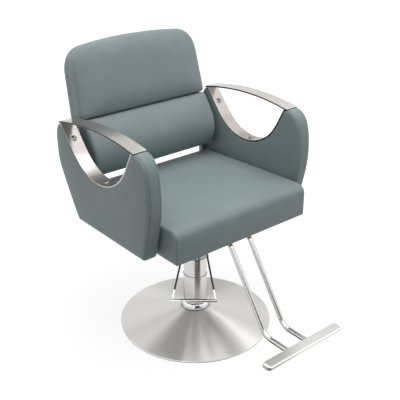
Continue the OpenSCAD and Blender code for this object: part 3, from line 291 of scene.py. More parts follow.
studio_card("felt_on_floor", felt, -19, 0.74, 0.003, 0, 1.1, 0.95, near=0.27)
studio_card("felt_upright", felt, -24, 1.6, 0.45, 90, 0.9, 0.9)
studio_card("white_overhead_card", card, -38, 1.4, 1.8, 50, 4.2, 1.0)
studio_card("white_side_card", card, 113, 1.3, 2.1, 45, 1.2, 1.1)
studio_card("left_slit", slit, -54, 1.25, 1.5, 50, 0.09, 1.2)
studio_card("right_slit", slit, -22.5, 1.25, 1.5, 50, 0.09, 1.2)

# %% [markdown]
# ## Leather
# Salon seats are covered in PU leather: a knitted cloth with an embossed polyurethane skin.
# The skin is a satin plastic, so its gloss comes from a plain dielectric with medium
# roughness. The embossing is a fine pebble grain about a millimetre across, drawn here as
# cells whose edges sink. A slow cloudy variation keeps large panels from looking printed.

# %% PU leather
GRAIN_MM = 1.3
CLOUD_MM = 70

# The embossed skin is a satin plastic: it shows soft, wide highlights and hardly any sparkle
leather, tree, shader = finish_of(
    "pu_leather_slate_green", IOR=1.45, Specular_IOR_Level=0.35, Sheen_Weight=0.04
)
place = add(tree, "TexCoord", {}).outputs["Object"]
cells = add(tree, "TexVoronoi", {"Vector": place, "Scale": 1 / (GRAIN_MM * MM)}, feature="F1")
creases = add(tree, "TexNoise", {"Vector": place, "Scale": 1 / (GRAIN_MM * MM * 3), "Detail": 3})
cloud = add(tree, "TexNoise", {"Vector": place, "Scale": 1 / (CLOUD_MM * MM), "Detail": 4})
tone = add(
    tree,
    "Mix",
    {0: cloud.outputs["Fac"], 6: swatch("7e8b8d"), 7: swatch("8a9799")},
    data_type="RGBA",
)
tree.links.new(tone.outputs[2], shader.inputs["Base Color"])
gloss = add(
    tree,
    "MapRange",
    {"Value": creases.outputs["Fac"], "To Min": 0.42, "To Max": 0.56},
)
tree.links.new(gloss.outputs["Result"], shader.inputs["Roughness"])
relief = {0: cells.outputs["Distance"], 1: creases.outputs["Fac"]}
pebble = add(tree, "Math", relief, operation="ADD")
bump = add(tree, "Bump", {"Strength": 0.25, "Distance": 0.12 * MM, "Height": pebble.outputs[0]})
tree.links.new(bump.outputs["Normal"], shader.inputs["Normal"])
print("leather grain is", GRAIN_MM, "mm wide")


# %% [markdown]
# ## Metals
# Three ways of finishing steel make three different glosses. The base was spun against an
# abrasive, so its scratches are circles round the column and the light draws fans across
# them. The covers were brushed round the tube. The arm steel was brushed across the strip.
# Each recipe is a noise that is stretched along the scratches, and an anisotropic shader. Real
# scratches are a few hundredths of a millimetre wide, too fine for the picture, so they are
# drawn a millimetre wide.


# %% Brushed and spun steel
ROUND_THE_AXIS = 0.25  # rotation of the gloss where scratches run round the tangent's axis


def brushed(name, code, rough, spread, scratch_mm, stretch, turn=0, axis="Z", relief=0.1):
    """Steel with scratches; stretch shapes their noise, and without it they are rings round Z."""
    metal, tree, shader = finish_of(
        name, Metallic=1.0, Anisotropic=spread, Anisotropic_Rotation=turn
    )
    shader.inputs["Base Color"].default_value = swatch(code)
    place = add(tree, "TexCoord", {}).outputs["Object"]
    if stretch is None:
        flat = add(tree, "VectorMath", {0: place, 1: (1, 1, 0)}, operation="MULTIPLY")
        radius = add(tree, "VectorMath", {0: flat.outputs[0]}, operation="LENGTH").outputs["Value"]
        line = add(tree, "CombineXYZ", {"X": radius}).outputs[0]
    else:
        line = add(tree, "Mapping", {"Vector": place, "Scale": stretch}).outputs[0]
    pattern = {"Scale": 1 / (scratch_mm * MM), "Detail": 4, "Roughness": 0.7}
    fine = add(tree, "TexNoise", {"Vector": line, **pattern})
    span = {"From Min": 0.3, "From Max": 0.7, "To Min": rough[0], "To Max": rough[1]}
    gloss = add(tree, "MapRange", {"Value": fine.outputs["Fac"], **span})
    tree.links.new(gloss.outputs["Result"], shader.inputs["Roughness"])
    depth = {"Strength": relief, "Distance": 0.01 * MM, "Height": fine.outputs["Fac"]}
    bump = add(tree, "Bump", depth)
    tree.links.new(bump.outputs["Normal"], shader.inputs["Normal"])
    tangent = add(tree, "Tangent", {}, direction_type="RADIAL", axis=axis)
    tree.links.new(tangent.outputs["Tangent"], shader.inputs["Tangent"])
    return metal


# Spun stainless: circles round the column, so the light draws fans from the middle to the rim
spun = brushed("spun_stainless", "e6e5e2", (0.34, 0.4), 1.0, 1.2, None, ROUND_THE_AXIS)
# Tube brushed while it turned: highlights are long along the tube and narrow across it
ROUND = {"stretch": (0.01, 0.01, 1), "turn": ROUND_THE_AXIS}
cover_steel = brushed("brushed_steel_tube", "d8d6d3", (0.2, 0.24), 0.85, 1.5, relief=0.0, **ROUND)
# Nickel-plated strip brushed across: a warm grey sheen that turns with the arc
ACROSS = {"stretch": (0.03, 1, 1), "relief": 0.02, "axis": "X"}
strip_steel = brushed("cross_brushed_nickel", "cbc7c3", (0.17, 0.23), 0.8, 1.4, **ACROSS)
# The hoops are the same steel as the strips, with a darker colour that paints in shade, as they
# face the big lamps
hoop_steel_painted_shade = brushed("cross_brushed_hoop_painted_shade", "a4a09d", (0.2, 0.26), 0.8, 1.4, **ACROSS)
# Extruded aluminium, brushed and anodised: paler and softer than the steels
ACROSS["relief"] = 0.03
bar_steel = brushed("brushed_aluminium", "d2d1cf", (0.27, 0.33), 0.7, 1.4, **ACROSS)
print("five brushed finishes")


# %% [markdown]
# The remaining steel is plainer: the pedal and the footrest tubes are chrome plated, bolts are
# zinc plated, the plate under the seat is powder coated and the ballast is painted cast iron.
# Each one still gets a small variation of its gloss, because no coat is perfectly even.


# %% Plain coats
def coated(name, code, rough, metal, patch_mm, wave=0.0, **sockets):
    """A coat whose gloss varies over patches; wave is the height of its ripple in mm."""
    coat, tree, shader = finish_of(name, Metallic=metal, **sockets)
    shader.inputs["Base Color"].default_value = swatch(code)
    place = add(tree, "TexCoord", {}).outputs["Object"]
    patch = add(tree, "TexNoise", {"Vector": place, "Scale": 1 / (patch_mm * MM), "Detail": 3})
    low, high = rough
    gloss = add(tree, "MapRange", {"Value": patch.outputs["Fac"], "To Min": low, "To Max": high})
    tree.links.new(gloss.outputs["Result"], shader.inputs["Roughness"])
    if wave:
        depth = {"Strength": 0.4, "Distance": wave * MM, "Height": patch.outputs["Fac"]}
        bump = add(tree, "Bump", depth)
        tree.links.new(bump.outputs["Normal"], shader.inputs["Normal"])
    return coat


# Polished chrome: a mirror that shows the dark cards and white paper side by side
chrome = coated("chrome_plate", "dcdcdb", (0.06, 0.12), 1.0, 12)
# Chrome over steel that was only brushed: the same mirror, slightly milky
satin_chrome = coated("satin_chrome_plate", "c2c1be", (0.18, 0.22), 1.0, 20)
# Edges: the hoops' outer ones are ground bright; the rest have a dark colour painted as reflection
# and shade
edge_steel = coated("sheared_edge_steel", "b5b2ae", (0.1, 0.18), 1.0, 6)
edge_painted_dark = coated("edge_steel_painted_dark", "3f3c3a", (0.25, 0.35), 1.0, 6)
# Die-cast end caps with a blasted skin: pale and without a clear reflection
cast_alloy = coated("cast_alloy", "eeedeb", (0.45, 0.55), 1.0, 4)
# The screws: glass-like chrome with a darker colour that paints in the shade round their domes,
# which sets them off from the hoop
screw_chrome_painted_dark = coated("screw_chrome_painted_shade", "8d8a87", (0.1, 0.16), 1.0, 6)
# Zinc and turned steel: dull grey metal on bolts and inside the pump
zinc = coated("zinc_plate", "b4b6b8", (0.28, 0.4), 1.0, 3)
turned = coated("turned_steel", "a9a9a8", (0.25, 0.36), 1.0, 2)
# Powder coat and painted castings: matt black with a fine ripple
powder = coated("black_powder_coat", "1d1d1e", (0.45, 0.6), 0.0, 1.5, 0.08)
iron = coated("painted_cast_iron", "3a3a3b", (0.5, 0.65), 0.0, 2.5, 0.2)
# Rubber is dull; the dipped PVC of the pedal's sleeves has a wet-looking gloss
rubber = coated("black_rubber", "171717", (0.6, 0.75), 0.0, 2, 0.03)
vinyl = coated("black_pvc_sleeve", "101010", (0.25, 0.35), 0.0, 4)
# Sintered bronze: oil-soaked bearing metal, warm and dull
bronze = coated("sintered_bronze", "9c7a48", (0.35, 0.5), 1.0, 1.5)
print("thirteen plain coats")


# %% [markdown]
# ## Wood and cloth under the seat
# Boards are birch plywood, whose face veneer has long soft figure, and the underside is
# closed by a black spun-bonded dust cloth. They hardly show, but the chair is seen from below
# when it is lifted, so they get a real finish too.

# %% Plywood and dust cloth
FIGURE_MM, BOND_MM = 9, 1.6

plywood, tree, shader = finish_of("birch_plywood", Roughness=0.6)
place = add(tree, "TexCoord", {}).outputs["Object"]
along = add(tree, "Mapping", {"Vector": place, "Scale": (1, 0.07, 1)}).outputs[0]
grain = {"Scale": 1 / (FIGURE_MM * MM), "Detail": 5, "Distortion": 0.6}
figure = add(tree, "TexNoise", {"Vector": along, **grain})
veneer = {0: figure.outputs["Fac"], 6: swatch("b8976a"), 7: swatch("dcc39a")}
tone = add(tree, "Mix", veneer, data_type="RGBA")
tree.links.new(tone.outputs[2], shader.inputs["Base Color"])
bump = add(tree, "Bump", {"Strength": 0.2, "Distance": 0.1 * MM, "Height": figure.outputs["Fac"]})
tree.links.new(bump.outputs["Normal"], shader.inputs["Normal"])

dust_cloth, tree, shader = finish_of("spunbond_dust_cloth", Roughness=0.9, Sheen_Weight=0.2)
place = add(tree, "TexCoord", {}).outputs["Object"]
bonds = add(tree, "TexVoronoi", {"Vector": place, "Scale": 1 / (BOND_MM * MM)})
fibre = {0: bonds.outputs["Distance"], 6: swatch("1c1c1d"), 7: swatch("2b2b2c")}
tone = add(tree, "Mix", fibre, data_type="RGBA")
tree.links.new(tone.outputs[2], shader.inputs["Base Color"])
depth = {"Strength": 0.5, "Distance": 0.1 * MM, "Height": bonds.outputs["Distance"]}
bump = add(tree, "Bump", depth)
tree.links.new(bump.outputs["Normal"], shader.inputs["Normal"])

print("plywood and dust cloth")

# %% [markdown]
# ## Dressing the frame
# Each piece of the frame gets the finish of the real one. Their meshes are left as they are.

# %% Finish of each carried-over piece
FINISHES = {
    spun: ["base_shell"],
    cover_steel: ["lower_cover", "upper_cover"],
    chrome: ["collar_ring", "pedal_stirrup", "piston_rod", "footrest_caps"],
    satin_chrome: ["pedal_yoke", "footrest_tubes", "hoop_screws"],
    strip_steel: ["armrest_strip_left", "armrest_strip_right", "arm_hoop_left", "arm_hoop_right"],
    bar_steel: ["footrest_bar"],
    turned: ["guide_tube", "pump_cylinder", "cylinder_gland", "pump_head", "spindle",
             "pump_plunger", "swivel_socket"],
    zinc: ["flange_bolts", "pivot_pin", "mount_bolts", "arm_bolts", "wood_screws"],
    powder: ["mount_plate", "cross_rails", "footrest_plate", "back_straps"],
    iron: ["base_plate"],
    rubber: ["floor_pad", "collar_gasket", "cover_gasket", "piston_seal"],
    vinyl: ["pedal_sleeves"],
    bronze: ["guide_bush", "thrust_washer"],
    plywood: ["seat_frame", "seat_board", "arm_core_left", "arm_core_right", "lumbar_board",
              "upper_board", "back_dowels"],
    dust_cloth: ["dust_cover"],
}
for finish, names in FINISHES.items():
    for name in names:
        nodes[name].data.materials.clear()
        nodes[name].data.materials.append(finish)
print(sum(map(len, FINISHES.values())), "carried-over pieces have their finish")


# %% [markdown]
# ## Steel that catches the light
# CAD edges are infinitely sharp, and their curves are shaded facet by facet. Real tube and
# strip has edges that were eased on a belt, and these thin lines of light are what makes it
# look like steel. So the steel that shows gets a merged and smoothly shaded copy with a
# small bevel. The edges of strips and hoops get a dark colour that paints in dark reflection
# and shade, and only the outer ones of the hoops were ground bright.


# %% Copies of frame pieces
def only(*pieces):
    """Select these pieces alone, the last one active."""
    bpy.ops.object.select_all(action="DESELECT")
    for piece in pieces:
        piece.select_set(True)
    bpy.context.view_layer.objects.active = pieces[-1]


def copy_of(name, *names):
    """One new object from copies of CAD nodes, its touching points merged."""
    only(*[nodes[n] for n in names])
    bpy.ops.object.duplicate()
    copies = list(bpy.context.selected_objects)
    for piece in copies:
        piece.parent = None
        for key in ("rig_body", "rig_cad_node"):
            if key in piece:
                del piece[key]
    bpy.context.view_layer.objects.active = copies[0]
    if len(copies) > 1:
        bpy.ops.object.join()
    piece = bpy.context.object
    piece.name = piece.data.name = name
    piece.data.materials.clear()
    bpy.ops.object.mode_set(mode="EDIT")
    bpy.ops.mesh.select_all(action="SELECT")
    bpy.ops.mesh.remove_doubles(threshold=0.002 * MM)
    bpy.ops.mesh.customdata_custom_splitnormals_clear()
    bpy.ops.object.mode_set(mode="OBJECT")
    return piece


def points_of(piece):
    co = np.empty(len(piece.data.vertices) * 3)
    piece.data.vertices.foreach_get("co", co)
    return co.reshape(-1, 3)


def set_points(piece, co):
    piece.data.vertices.foreach_set("co", np.ascontiguousarray(co).ravel())
    piece.data.update()


# %% [markdown]
# The camera sees the armrests slightly flatter and longer than the first measure of the frame
# gave them. A gentle bend of a few millimetres does it, the same for strip, hoop, screws and
# leather, so that nothing parts.

# %% The armrest's arc
STRIP_FRONT, STRIP_REAR = -125, 263
ARC_LESS = 7
REACH_BACK = 6
BEND_FROM_Z, BEND_WHOLE_Z = 600, 690
BACK_FROM_Y, BACK_WHOLE_Y = 130, 250


def soft_step(value, start, end):
    """0 below start, 1 above end, and an S-shaped rise between."""
    share = np.clip((value - start) / (end - start), 0, 1)
    return share * share * (3 - 2 * share)


def flatten_arc(piece):
    """Take a few mm out of the armrest's arc, and let its rear end reach further back."""
    co = points_of(piece)
    y, z = co[:, 1] / MM, co[:, 2] / MM
    middle, half = (STRIP_FRONT + STRIP_REAR) / 2, (STRIP_REAR - STRIP_FRONT) / 2
    lift = ARC_LESS * (np.clip(((y - middle) / half) ** 2, 0, 1.3) - 0.5)
    share = soft_step(z, BEND_FROM_Z, BEND_WHOLE_Z)
    co[:, 2] += lift * share * MM
    co[:, 1] += REACH_BACK * share * soft_step(y, BACK_FROM_Y, BACK_WHOLE_Y) * MM
    set_points(piece, co)


# %% Eased copies
def eased(name, finish, body, slot_name, ease_mm, *replaced):
    """A smooth copy of CAD nodes with bevelled edges, in place of them."""
    piece = copy_of(name, *replaced)
    piece.data.materials.append(finish)
    if ease_mm:
        bpy.ops.object.modifier_add(type="BEVEL")
        bevel = piece.modifiers[-1]
        bevel.width = ease_mm * MM
        bevel.segments = 2
        bevel.limit_method = "ANGLE"
        bevel.angle_limit = math.radians(40)
        bpy.ops.object.modifier_apply(modifier=bevel.name)
    bpy.ops.object.shade_smooth_by_angle(angle=math.radians(35))
    bpy.ops.object.modifier_add(type="WEIGHTED_NORMAL")
    piece.modifiers[-1].keep_sharp = True
    bpy.ops.object.modifier_apply(modifier=piece.modifiers[-1].name)
    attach(piece, body)
    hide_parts(*replaced)
    return piece


for name, steel in (("armrest_strip", strip_steel), ("arm_hoop", hoop_steel_painted_shade)):
    trim = eased(name + "s", steel, "seat", "satin_trim", 0.5, name + "_left", name + "_right")
    flatten_arc(trim)
    trim.data.materials.append(edge_steel)
    trim.data.materials.append(edge_painted_dark)
    # Sideways edges and the strips' cut front ends get painted dark reflection and shade, the
    # hoops' outer edges the ground steel
    for face in trim.data.polygons:
        outward = name == "arm_hoop" and face.normal.x * face.center.x > 0
        cut_end = name == "armrest_strip" and face.normal.y < -0.6
        if abs(face.normal.x) > 0.6 or cut_end:
            face.material_index = 1 if outward else 2
tubes = eased("footrest_tube_pair", satin_chrome, "seat", "chrome", 0, "footrest_tubes")
eased("foot_bar_profile", bar_steel, "seat", "brushed_bar", 0.4, "footrest_bar")
eased("foot_bar_ends", cast_alloy, "seat", "brushed_bar", 2.2, "footrest_caps")
eased("spun_base", spun, "base", "spun_steel", 0.6, "base_shell")
eased("column_collar", chrome, "base", "chrome", 0.3, "collar_ring")
eased("lower_column_cover", cover_steel, "base", "brushed_cover", 0.4, "lower_cover")
eased("upper_column_cover", cover_steel, "pump", "brushed_cover", 0.4, "upper_cover")
# The dome screws carry the chrome darkened with painted shade
flatten_arc(eased("dome_screws", screw_chrome_painted_dark, "seat", "chrome", 0.3, "hoop_screws"))

# The tubes stop under the bar, and their ends are welded shut
TUBE_X, TUBE_Z, TUBE_BORE_R = 39, 146, 7
TUBE_END, BAR_BACK = -490, -481
co = points_of(tubes)
at_end = co[:, 1] < TUBE_END * MM
co[at_end, 1] = BAR_BACK * MM
inner = at_end & (np.hypot(abs(co[:, 0]) - TUBE_X * MM, co[:, 2] - TUBE_Z * MM) < TUBE_BORE_R * MM)
co[inner, 0] = np.sign(co[inner, 0]) * TUBE_X * MM
co[inner, 2] = TUBE_Z * MM
set_points(tubes, co)
print(int(inner.sum()), "inner rim points closed")

# %% [markdown]
# ## Padded pieces
# A pad is foam with a cover pulled over it. The cover is longer than the foam, so it swells
# between its seams. That is what a cloth simulation does: the shape of the CAD solid becomes an
# even skin by voxel remeshing, is drawn in a little, and is blown up by air pressure. The
# swelling is capped, because a salon pad is firm. Points that rest on wood or steel are pinned.
# The simulation runs on a coarse twin, which is quick, and the fine skin takes over how far each
# place went out. Evening that out over the skin leaves a taut cover without stray folds.


# %% Tools for soft pieces
def normals_of(piece):
    out = np.empty(len(piece.data.vertices) * 3)
    piece.data.vertices.foreach_get("normal", out)
    return out.reshape(-1, 3)


def skin(piece, voxel_mm, draw_in_mm=0.0, smooth=2):
    """Turn a solid into an even skin, drawn in by a little."""
    only(piece)
    piece.data.remesh_voxel_size = voxel_mm * MM
    bpy.ops.object.voxel_remesh()
    bpy.ops.object.mode_set(mode="EDIT")
    bpy.ops.mesh.select_all(action="SELECT")
    if draw_in_mm:
        bpy.ops.transform.shrink_fatten(value=-draw_in_mm * MM)
    if smooth:
        bpy.ops.mesh.vertices_smooth(factor=0.5, repeat=smooth)
    bpy.ops.object.mode_set(mode="OBJECT")


def swelling(piece, pinned, voxel_mm=9, last_frame=20, pressure=4.0):
    """Blow up a coarse twin of the skin with air; returns its points and how far each went out."""
    only(piece)
    bpy.ops.object.duplicate()
    twin = bpy.context.object
    twin.data.remesh_voxel_size = voxel_mm * MM
    bpy.ops.object.voxel_remesh()
    rest = points_of(twin)
    out = normals_of(twin)
    held = twin.vertex_groups.new(name="held")
    held.add([int(k) for k in np.nonzero(pinned(rest))[0]], 1.0, "REPLACE")
    bpy.ops.object.modifier_add(type="CLOTH")
    cloth = twin.modifiers[-1]
    cloth.settings.vertex_group_mass = "held"
    cloth.settings.use_pressure = True
    cloth.settings.uniform_pressure_force = pressure
    cloth.settings.effector_weights.gravity = 0
    cloth.collision_settings.use_collision = False
    cloth.point_cache.frame_start = 1
    cloth.point_cache.frame_end = last_frame
    for frame_number in range(1, last_frame + 1):
        bpy.context.scene.frame_set(frame_number)
    bpy.ops.object.modifier_apply(modifier=cloth.name)
    bpy.context.scene.frame_set(1)
    went = ((points_of(twin) - rest) * out).sum(1)
    bpy.data.objects.remove(twin)
    return rest, went


def evened(piece, values, held, rounds):
    """Values on the points of a piece, averaged with their neighbours; held points stay at 0."""
    ends = np.empty(len(piece.data.edges) * 2, np.int32)
    piece.data.edges.foreach_get("vertices", ends)
    a, b = ends.reshape(-1, 2).T
    count = np.bincount(a, minlength=len(values)) + np.bincount(b, minlength=len(values))
    for _ in range(rounds):
        total = np.bincount(a, values[b], len(values)) + np.bincount(b, values[a], len(values))
        values = np.where(held, 0, (values + total) / (1 + count))
    return values


def blow_up(piece, cap_mm, pinned, rounds=25):
    """Swell the skin as its coarse twin does, softly capped, still where it rests."""
    places, went = swelling(piece, pinned)
    tree = KDTree(len(places))
    for k, point in enumerate(places):
        tree.insert(point, k)
    tree.balance()
    rest = points_of(piece)
    near = [tree.find(point)[1] for point in rest]
    cap = cap_mm * MM
    swell = cap * np.tanh(np.maximum(went[near], 0) / cap)
    swell = evened(piece, swell, pinned(rest), rounds)
    set_points(piece, rest + normals_of(piece) * swell[:, None])
    print(piece.name, "swelled by up to", round(float(swell.max()) / MM, 1), "mm")


def refine(piece, levels=1):
    only(piece)
    bpy.ops.object.modifier_add(type="SUBSURF")
    piece.modifiers[-1].levels = piece.modifiers[-1].render_levels = levels
    bpy.ops.object.modifier_apply(modifier=piece.modifiers[-1].name)
    bpy.ops.object.shade_smooth()


# %% [markdown]
# ## Seams and stitches
# Every seam on this chair lies in a plane, because upholstery panels are cut to the outline of
# a board. So a seam is made by slicing the skin with that plane and two more beside it, and
# pressing the middle cut inwards: a crisp valley with soft shoulders. Topstitches are small
# beads of thread laid along one side of the valley.


# %% Tools for seams
def sew(piece, at, across, depth_mm, half_mm, where):
    """Press a seam in the plane through at, square to across; returns its lines of points."""
    at, across = Vector(at), Vector(across).normalized()
    only(piece)
    bpy.ops.object.mode_set(mode="EDIT")
    bpy.ops.mesh.select_mode(type="VERT")
    for shift in (-half_mm, half_mm, 0):
        bpy.ops.mesh.select_all(action="SELECT")
        bpy.ops.mesh.bisect(plane_co=at + across * shift * MM, plane_no=across)
    sheet = bmesh.from_edit_mesh(piece.data)
    sheet.normal_update()
    on_line = {v for v in sheet.verts if abs((v.co - at).dot(across)) < 0.12 * MM and where(v.co)}
    lines = chains(on_line)
    for v, away in [(v, v.normal.copy()) for v in on_line]:
        v.co -= away * depth_mm * MM
    bmesh.update_edit_mesh(piece.data)
    bpy.ops.object.mode_set(mode="OBJECT")
    return lines


def chains(line):
    """Points of each unbroken run of linked vertices, in order."""
    beside = {v: [e.other_vert(v) for e in v.link_edges if e.other_vert(v) in line] for v in line}
    left, runs = set(line), []
    while left:
        ends = [v for v in left if len(beside[v]) == 1]
        v = min(ends or left, key=lambda u: tuple(u.co))
        run = []
        while v is not None:
            left.discard(v)
            run.append(v.co.copy())
            v = next((u for u in beside[v] if u in left), None)
        runs.append(run)
    return runs


def upholster(piece, slot_name, fill, *replaced):
    """Leather on a finished soft piece, and what it stands for in the frame."""
    piece.data.materials.clear()
    piece.data.materials.append(leather)
    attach(piece, "seat")
    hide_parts(*replaced)
    print(piece.name, "has", len(piece.data.polygons), "faces")


thread = coated("bonded_polyester_thread", "b4bfc0", (0.5, 0.65), 0.0, 1.0)


def topstitch(name, piece, lines, shift, pitch_mm=8.0, length_mm=5.5, thick_mm=1.5, least_mm=30):
    """Beads of thread along lines of points, shifted sideways and laid on the skin of a piece."""
    bpy.ops.mesh.primitive_uv_sphere_add(segments=8, ring_count=6, radius=1)
    bead = bpy.context.object
    unit = points_of(bead) * (thick_mm / 2 * MM, thick_mm / 2 * MM, length_mm / 2 * MM)
    faces = [list(f.vertices) for f in bead.data.polygons]
    bpy.data.objects.remove(bead)
    reader = bpy.context.evaluated_depsgraph_get()
    surface = BVHTree.FromObject(piece, reader)
    co, polygons = [], []
    for line in lines:
        steps = [(b - a).length for a, b in zip(line, line[1:])]
        total = sum(steps)
        if total < least_mm * MM:
            continue
        marks = np.arange(pitch_mm / 2 * MM, total, pitch_mm * MM)
        along = np.concatenate([[0], np.cumsum(steps)])
        xyz = np.array(line)
        for mark in marks:
            spot = Vector([np.interp(mark, along, xyz[:, k]) for k in range(3)])
            ahead = Vector([np.interp(mark + MM, along, xyz[:, k]) for k in range(3)])
            found, normal, _, _ = surface.find_nearest(spot + Vector(shift) * MM)
            way = (ahead - spot).normalized() if (ahead - spot).length > 0 else Vector((0, 0, 1))
            side = normal.cross(way).normalized()
            turn = np.array(Matrix((side, way.cross(side), way)).transposed())
            start = sum(len(c) for c in co)
            co.append(unit @ turn.T + np.array(found + normal * thick_mm * 0.15 * MM))
            polygons += [[start + k for k in f] for f in faces]
    mesh = bpy.data.meshes.new(name)
    mesh.from_pydata([tuple(v) for v in np.concatenate(co)], [], polygons)
    stitches = bpy.data.objects.new(name, mesh)
    bpy.context.scene.collection.objects.link(stitches)
    only(stitches)
    bpy.ops.object.shade_smooth()
    mesh.materials.append(thread)
    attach(stitches, "seat")
    print(name, "has", len(co), "stitches")


# %% [markdown]
# ## Seat cushion
# The cover of the seat is one long panel that runs from under the front edge over the
# waterfall to the rear, and a flat boxing at either side. The seams between them follow the
# outline of the side and are topstitched, which keeps the corner crisp at the front.

# %% Seat cushion
SEAT_HALF_W, SEAT_BOTTOM = 261, 400
POCKET_HALF_W, POCKET_FRONT, POCKET_REAR, POCKET_TOP = 250.5, 224.5, 247.5, 465.5
SEAT_SEAM_IN, STITCH_IN = 5, 4

seat = copy_of("seat_cover", "seat_cushion")
skin(seat, 6, draw_in_mm=1.5)


def seat_rests(co):
    """The lower edge, and the skin against the wooden frame."""
    x, y, z = co.T / MM
    in_pocket = (
        (abs(x) < POCKET_HALF_W) & (y > -POCKET_FRONT) & (y < POCKET_REAR) & (z < POCKET_TOP)
    )
    return in_pocket | (z < SEAT_BOTTOM + 8)


blow_up(seat, 4, seat_rests)
refine(seat)


def off_pocket(point):
    """Clear of the pocket for the wooden frame."""
    y, z = point.y / MM, point.z / MM
    return z >= POCKET_TOP + 3 or not -POCKET_FRONT - 3 < y < POCKET_REAR + 3


seat_lines = {}
for side in (-1, 1):
    edge = side * (SEAT_HALF_W - SEAT_SEAM_IN) * MM
    seat_lines[side] = sew(seat, (edge, 0, 0), (1, 0, 0), 2.4, 3.4, off_pocket)
upholster(seat, "leather", 0.8, "seat_cushion")
for side, name in ((-1, "seat_topstitch_right"), (1, "seat_topstitch_left")):
    topstitch(name, seat, seat_lines[side], (-side * STITCH_IN, 0, 0))

# %% [markdown]
# ## Arms
# Each arm is a curved board with foam on both faces and a strip of foam round its edge, under
# one cover. The cover has two seams, a finger's width in from either face, that follow the
# front and the rear edge down to the foot. Round the opening there is no seam, because the
# steel hoop covers the raw edge there.

# %% Arms
ARM_INNER, ARM_OUT = 267, 320
ARM_SEAM_IN = 10
HOOP_Y, HOOP_Z, HOOP_R = 65, 736, 168


def arm_rests(co):
    """The skin against the wooden core and round the steel hoop."""
    x, y, z = abs(co.T[0]) / MM, co.T[1] / MM, co.T[2] / MM
    at_hoop = np.hypot(y - HOOP_Y, z - HOOP_Z) < HOOP_R + 12
    at_core = (x > ARM_INNER + 12) & (x < ARM_OUT - 13)
    return at_hoop | (at_core & (z < 412))


# How far the inner face reaches back over the post, in mm, by height
FLAP_Z, FLAP_REACH = (430, 450, 505, 545, 640), (0, 47, 47, 34, 0)
FLAP_BLEND, FLAP_THICK, FLAP_EDGE = 55, 12, 8


def close_on_post(piece):
    """Let the rear edge of the inner face reach back over the post, so no light shows between."""
    co = points_of(piece)
    x, y, z = abs(co[:, 0]) / MM, co[:, 1] / MM, co[:, 2] / MM
    level = np.arange(420, 640, 5)
    rear = [y[abs(z - at) < 4].max() for at in level]
    near_rear = np.clip((y - np.interp(z, level, rear)) / FLAP_BLEND + 1, 0, 1)
    inner = np.clip((ARM_INNER + FLAP_THICK + FLAP_EDGE - x) / FLAP_EDGE, 0, 1)
    back = np.interp(z, FLAP_Z, FLAP_REACH)
    co[:, 1] += near_rear**2 * inner * back * MM
    set_points(piece, co)


def off_hoop(point):
    """Clear of the steel hoop, where the cover has no seam."""
    return math.hypot(point.y / MM - HOOP_Y, point.z / MM - HOOP_Z) > HOOP_R + 6


for side, name in ((1, "left"), (-1, "right")):
    foam = [part + name for part in ("arm_outer_pad_", "arm_band_", "arm_inner_pad_")]
    arm = copy_of("arm_cover_" + name, *foam)
    skin(arm, 5, draw_in_mm=0.8)
    blow_up(arm, 3, arm_rests)
    refine(arm)
    flatten_arc(arm)
    close_on_post(arm)
    for place in (ARM_INNER + ARM_SEAM_IN, ARM_OUT - ARM_SEAM_IN):
        sew(arm, (side * place * MM, 0, 0), (1, 0, 0), 2.4, 3.2, off_hoop)
    upholster(arm, "leather", 0.7, foam[0], foam[1], foam[2])

# %% [markdown]
# ## Back
# Two pads share the back. The upper one is a flat cushion with a rolled rim and a boxing
# round its edge, the lumbar one a fat half roll that pushes forward. Both lean back, so their
# seams are cut by planes that lean with them.

# %% Back pads
BACK_AT = Vector((0, 245, 703)) * MM
LEAN = Matrix.Rotation(math.radians(-14), 3, "X")
PAD_DEPTH = 76
LUMBAR_HALF_W = 246.5
UPPER_HALF_W = 240
# The upper pad's seams show at its sides, its top and its lower edge
SEAM_SIDE, SEAM_TOP, SEAM_LOW = 228, 205, 12


def in_back(point):
    """Place in the leaning frame of the back, in mm."""
    return LEAN.transposed() @ (Vector(point) - BACK_AT) / MM


def back_rests(co):
    """The skin inside the rear pockets, where the boards and posts lie."""
    local = (co - np.array(BACK_AT)) @ np.array(LEAN) / MM
    return local[:, 1] > PAD_DEPTH - 36


def fill_edge(piece, half_w, z_mm, reach_mm, way, edge_mm, corner_mm):
    """Let a pad's lower (way -1) or upper (way 1) edge and its sewn corners stand out further."""
    local = (points_of(piece) - np.array(BACK_AT)) @ np.array(LEAN) / MM
    x, z = local[:, 0].copy(), local[:, 2].copy()
    edge = np.clip(1 - abs(z - z_mm) / reach_mm, 0, 1)
    corner = np.clip(1 - np.hypot(abs(x) - half_w, z - z_mm) / reach_mm, 0, 1) ** 1.5
    local[:, 0] += corner * corner_mm * np.sign(x)
    local[:, 2] += way * (edge * edge_mm + corner * corner_mm)
    set_points(piece, local * MM @ np.array(LEAN).T + np.array(BACK_AT))


def widen(piece, more_mm, up_to_mm):
    """Let a pad grow wider towards its lower edge."""
    local = (points_of(piece) - np.array(BACK_AT)) @ np.array(LEAN) / MM
    local[:, 0] *= 1 + more_mm / UPPER_HALF_W * np.clip(1 - local[:, 2] / up_to_mm, 0, 1)
    set_points(piece, local * MM @ np.array(LEAN).T + np.array(BACK_AT))


def calm(piece, where, rounds):
    """Even out the facets of the CAD shape on the points picked by where."""
    picked = where((points_of(piece) - np.array(BACK_AT)) @ np.array(LEAN) / MM)
    only(piece)
    piece.data.vertices.foreach_set("select", picked)
    bpy.ops.object.mode_set(mode="EDIT")
    bpy.ops.mesh.select_mode(type="VERT")
    bpy.ops.mesh.vertices_smooth(factor=0.5, repeat=rounds)
    bpy.ops.object.mode_set(mode="OBJECT")


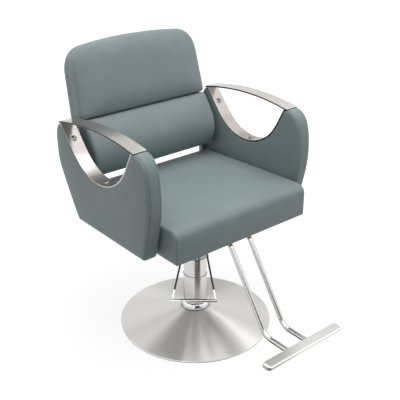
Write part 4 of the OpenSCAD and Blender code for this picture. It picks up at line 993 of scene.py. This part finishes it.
upper = copy_of("upper_back_pad", "upper_pad")
skin(upper, 5, draw_in_mm=1.5)
blow_up(upper, 6, back_rests)
fill_edge(upper, UPPER_HALF_W, 0, 30, -1, 2.0, 5.0)
widen(upper, 9, 170)
calm(upper, lambda local: (local[:, 1] < 2) & (abs(local[:, 0]) < 225) & (local[:, 2] > 12), 10)
refine(upper)


def round_upper(point):
    """On the boxing round the upper pad."""
    x, _, z = in_back(point)
    return abs(x) > SEAM_SIDE or z > SEAM_TOP or z < SEAM_LOW


for depth in (9, PAD_DEPTH - 8):
    at = BACK_AT + LEAN @ Vector((0, depth * MM, 0))
    sew(upper, at, LEAN @ Vector((0, 1, 0)), 2.2, 3.6, round_upper)
upholster(upper, "leather", 0.8, "upper_pad")

lumbar = copy_of("lumbar_roll", "lumbar_pad")
skin(lumbar, 5, draw_in_mm=1.5)
blow_up(lumbar, 6, back_rests)
calm(lumbar, lambda local: (local[:, 1] < 40) & (abs(local[:, 0]) < LUMBAR_HALF_W - 12), 14)
fill_edge(lumbar, LUMBAR_HALF_W, -3, 24, 1, 1.5, 3.0)
refine(lumbar)
for side in (-1, 1):
    sew(lumbar, (side * (LUMBAR_HALF_W - 6) * MM, 0, 0), (1, 0, 0), 1.6, 3.0,
        lambda v: in_back(v)[1] < PAD_DEPTH - 30)
upholster(lumbar, "leather", 0.9, "lumbar_pad")

# %% [markdown]
# ## Posts and rear panels
# Two posts that are wrapped in the same leather carry the back, and thin padded panels close
# its rear. They have no seam that shows, so an even, softened skin is all they need.

# %% Posts and rear panels
for name in ("left", "right"):
    post = copy_of("wrapped_post_" + name, "back_upright_" + name)
    skin(post, 3.5, smooth=2)
    refine(post, 1)
    upholster(post, "wrapped_post", 0.2, "back_upright_" + name)
for name in ("lumbar", "upper"):
    panel = copy_of(name + "_rear_cover", name + "_rear_panel")
    skin(panel, 3.5, smooth=2)
    refine(panel, 1)
    upholster(panel, "leather", 0.3, name + "_rear_panel")

# %% [markdown]
# ## How far the dressed chair grew
# The dressed chair stands a little proud of the CAD box, as fabric does; the growth is printed.

# %% Sizes
low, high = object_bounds()
grown = [(a - b) / MM for a, b in zip((*low, *high), (*cad_low, *cad_high))]
print("grown by mm:", [round(value, 1) for value in grown])
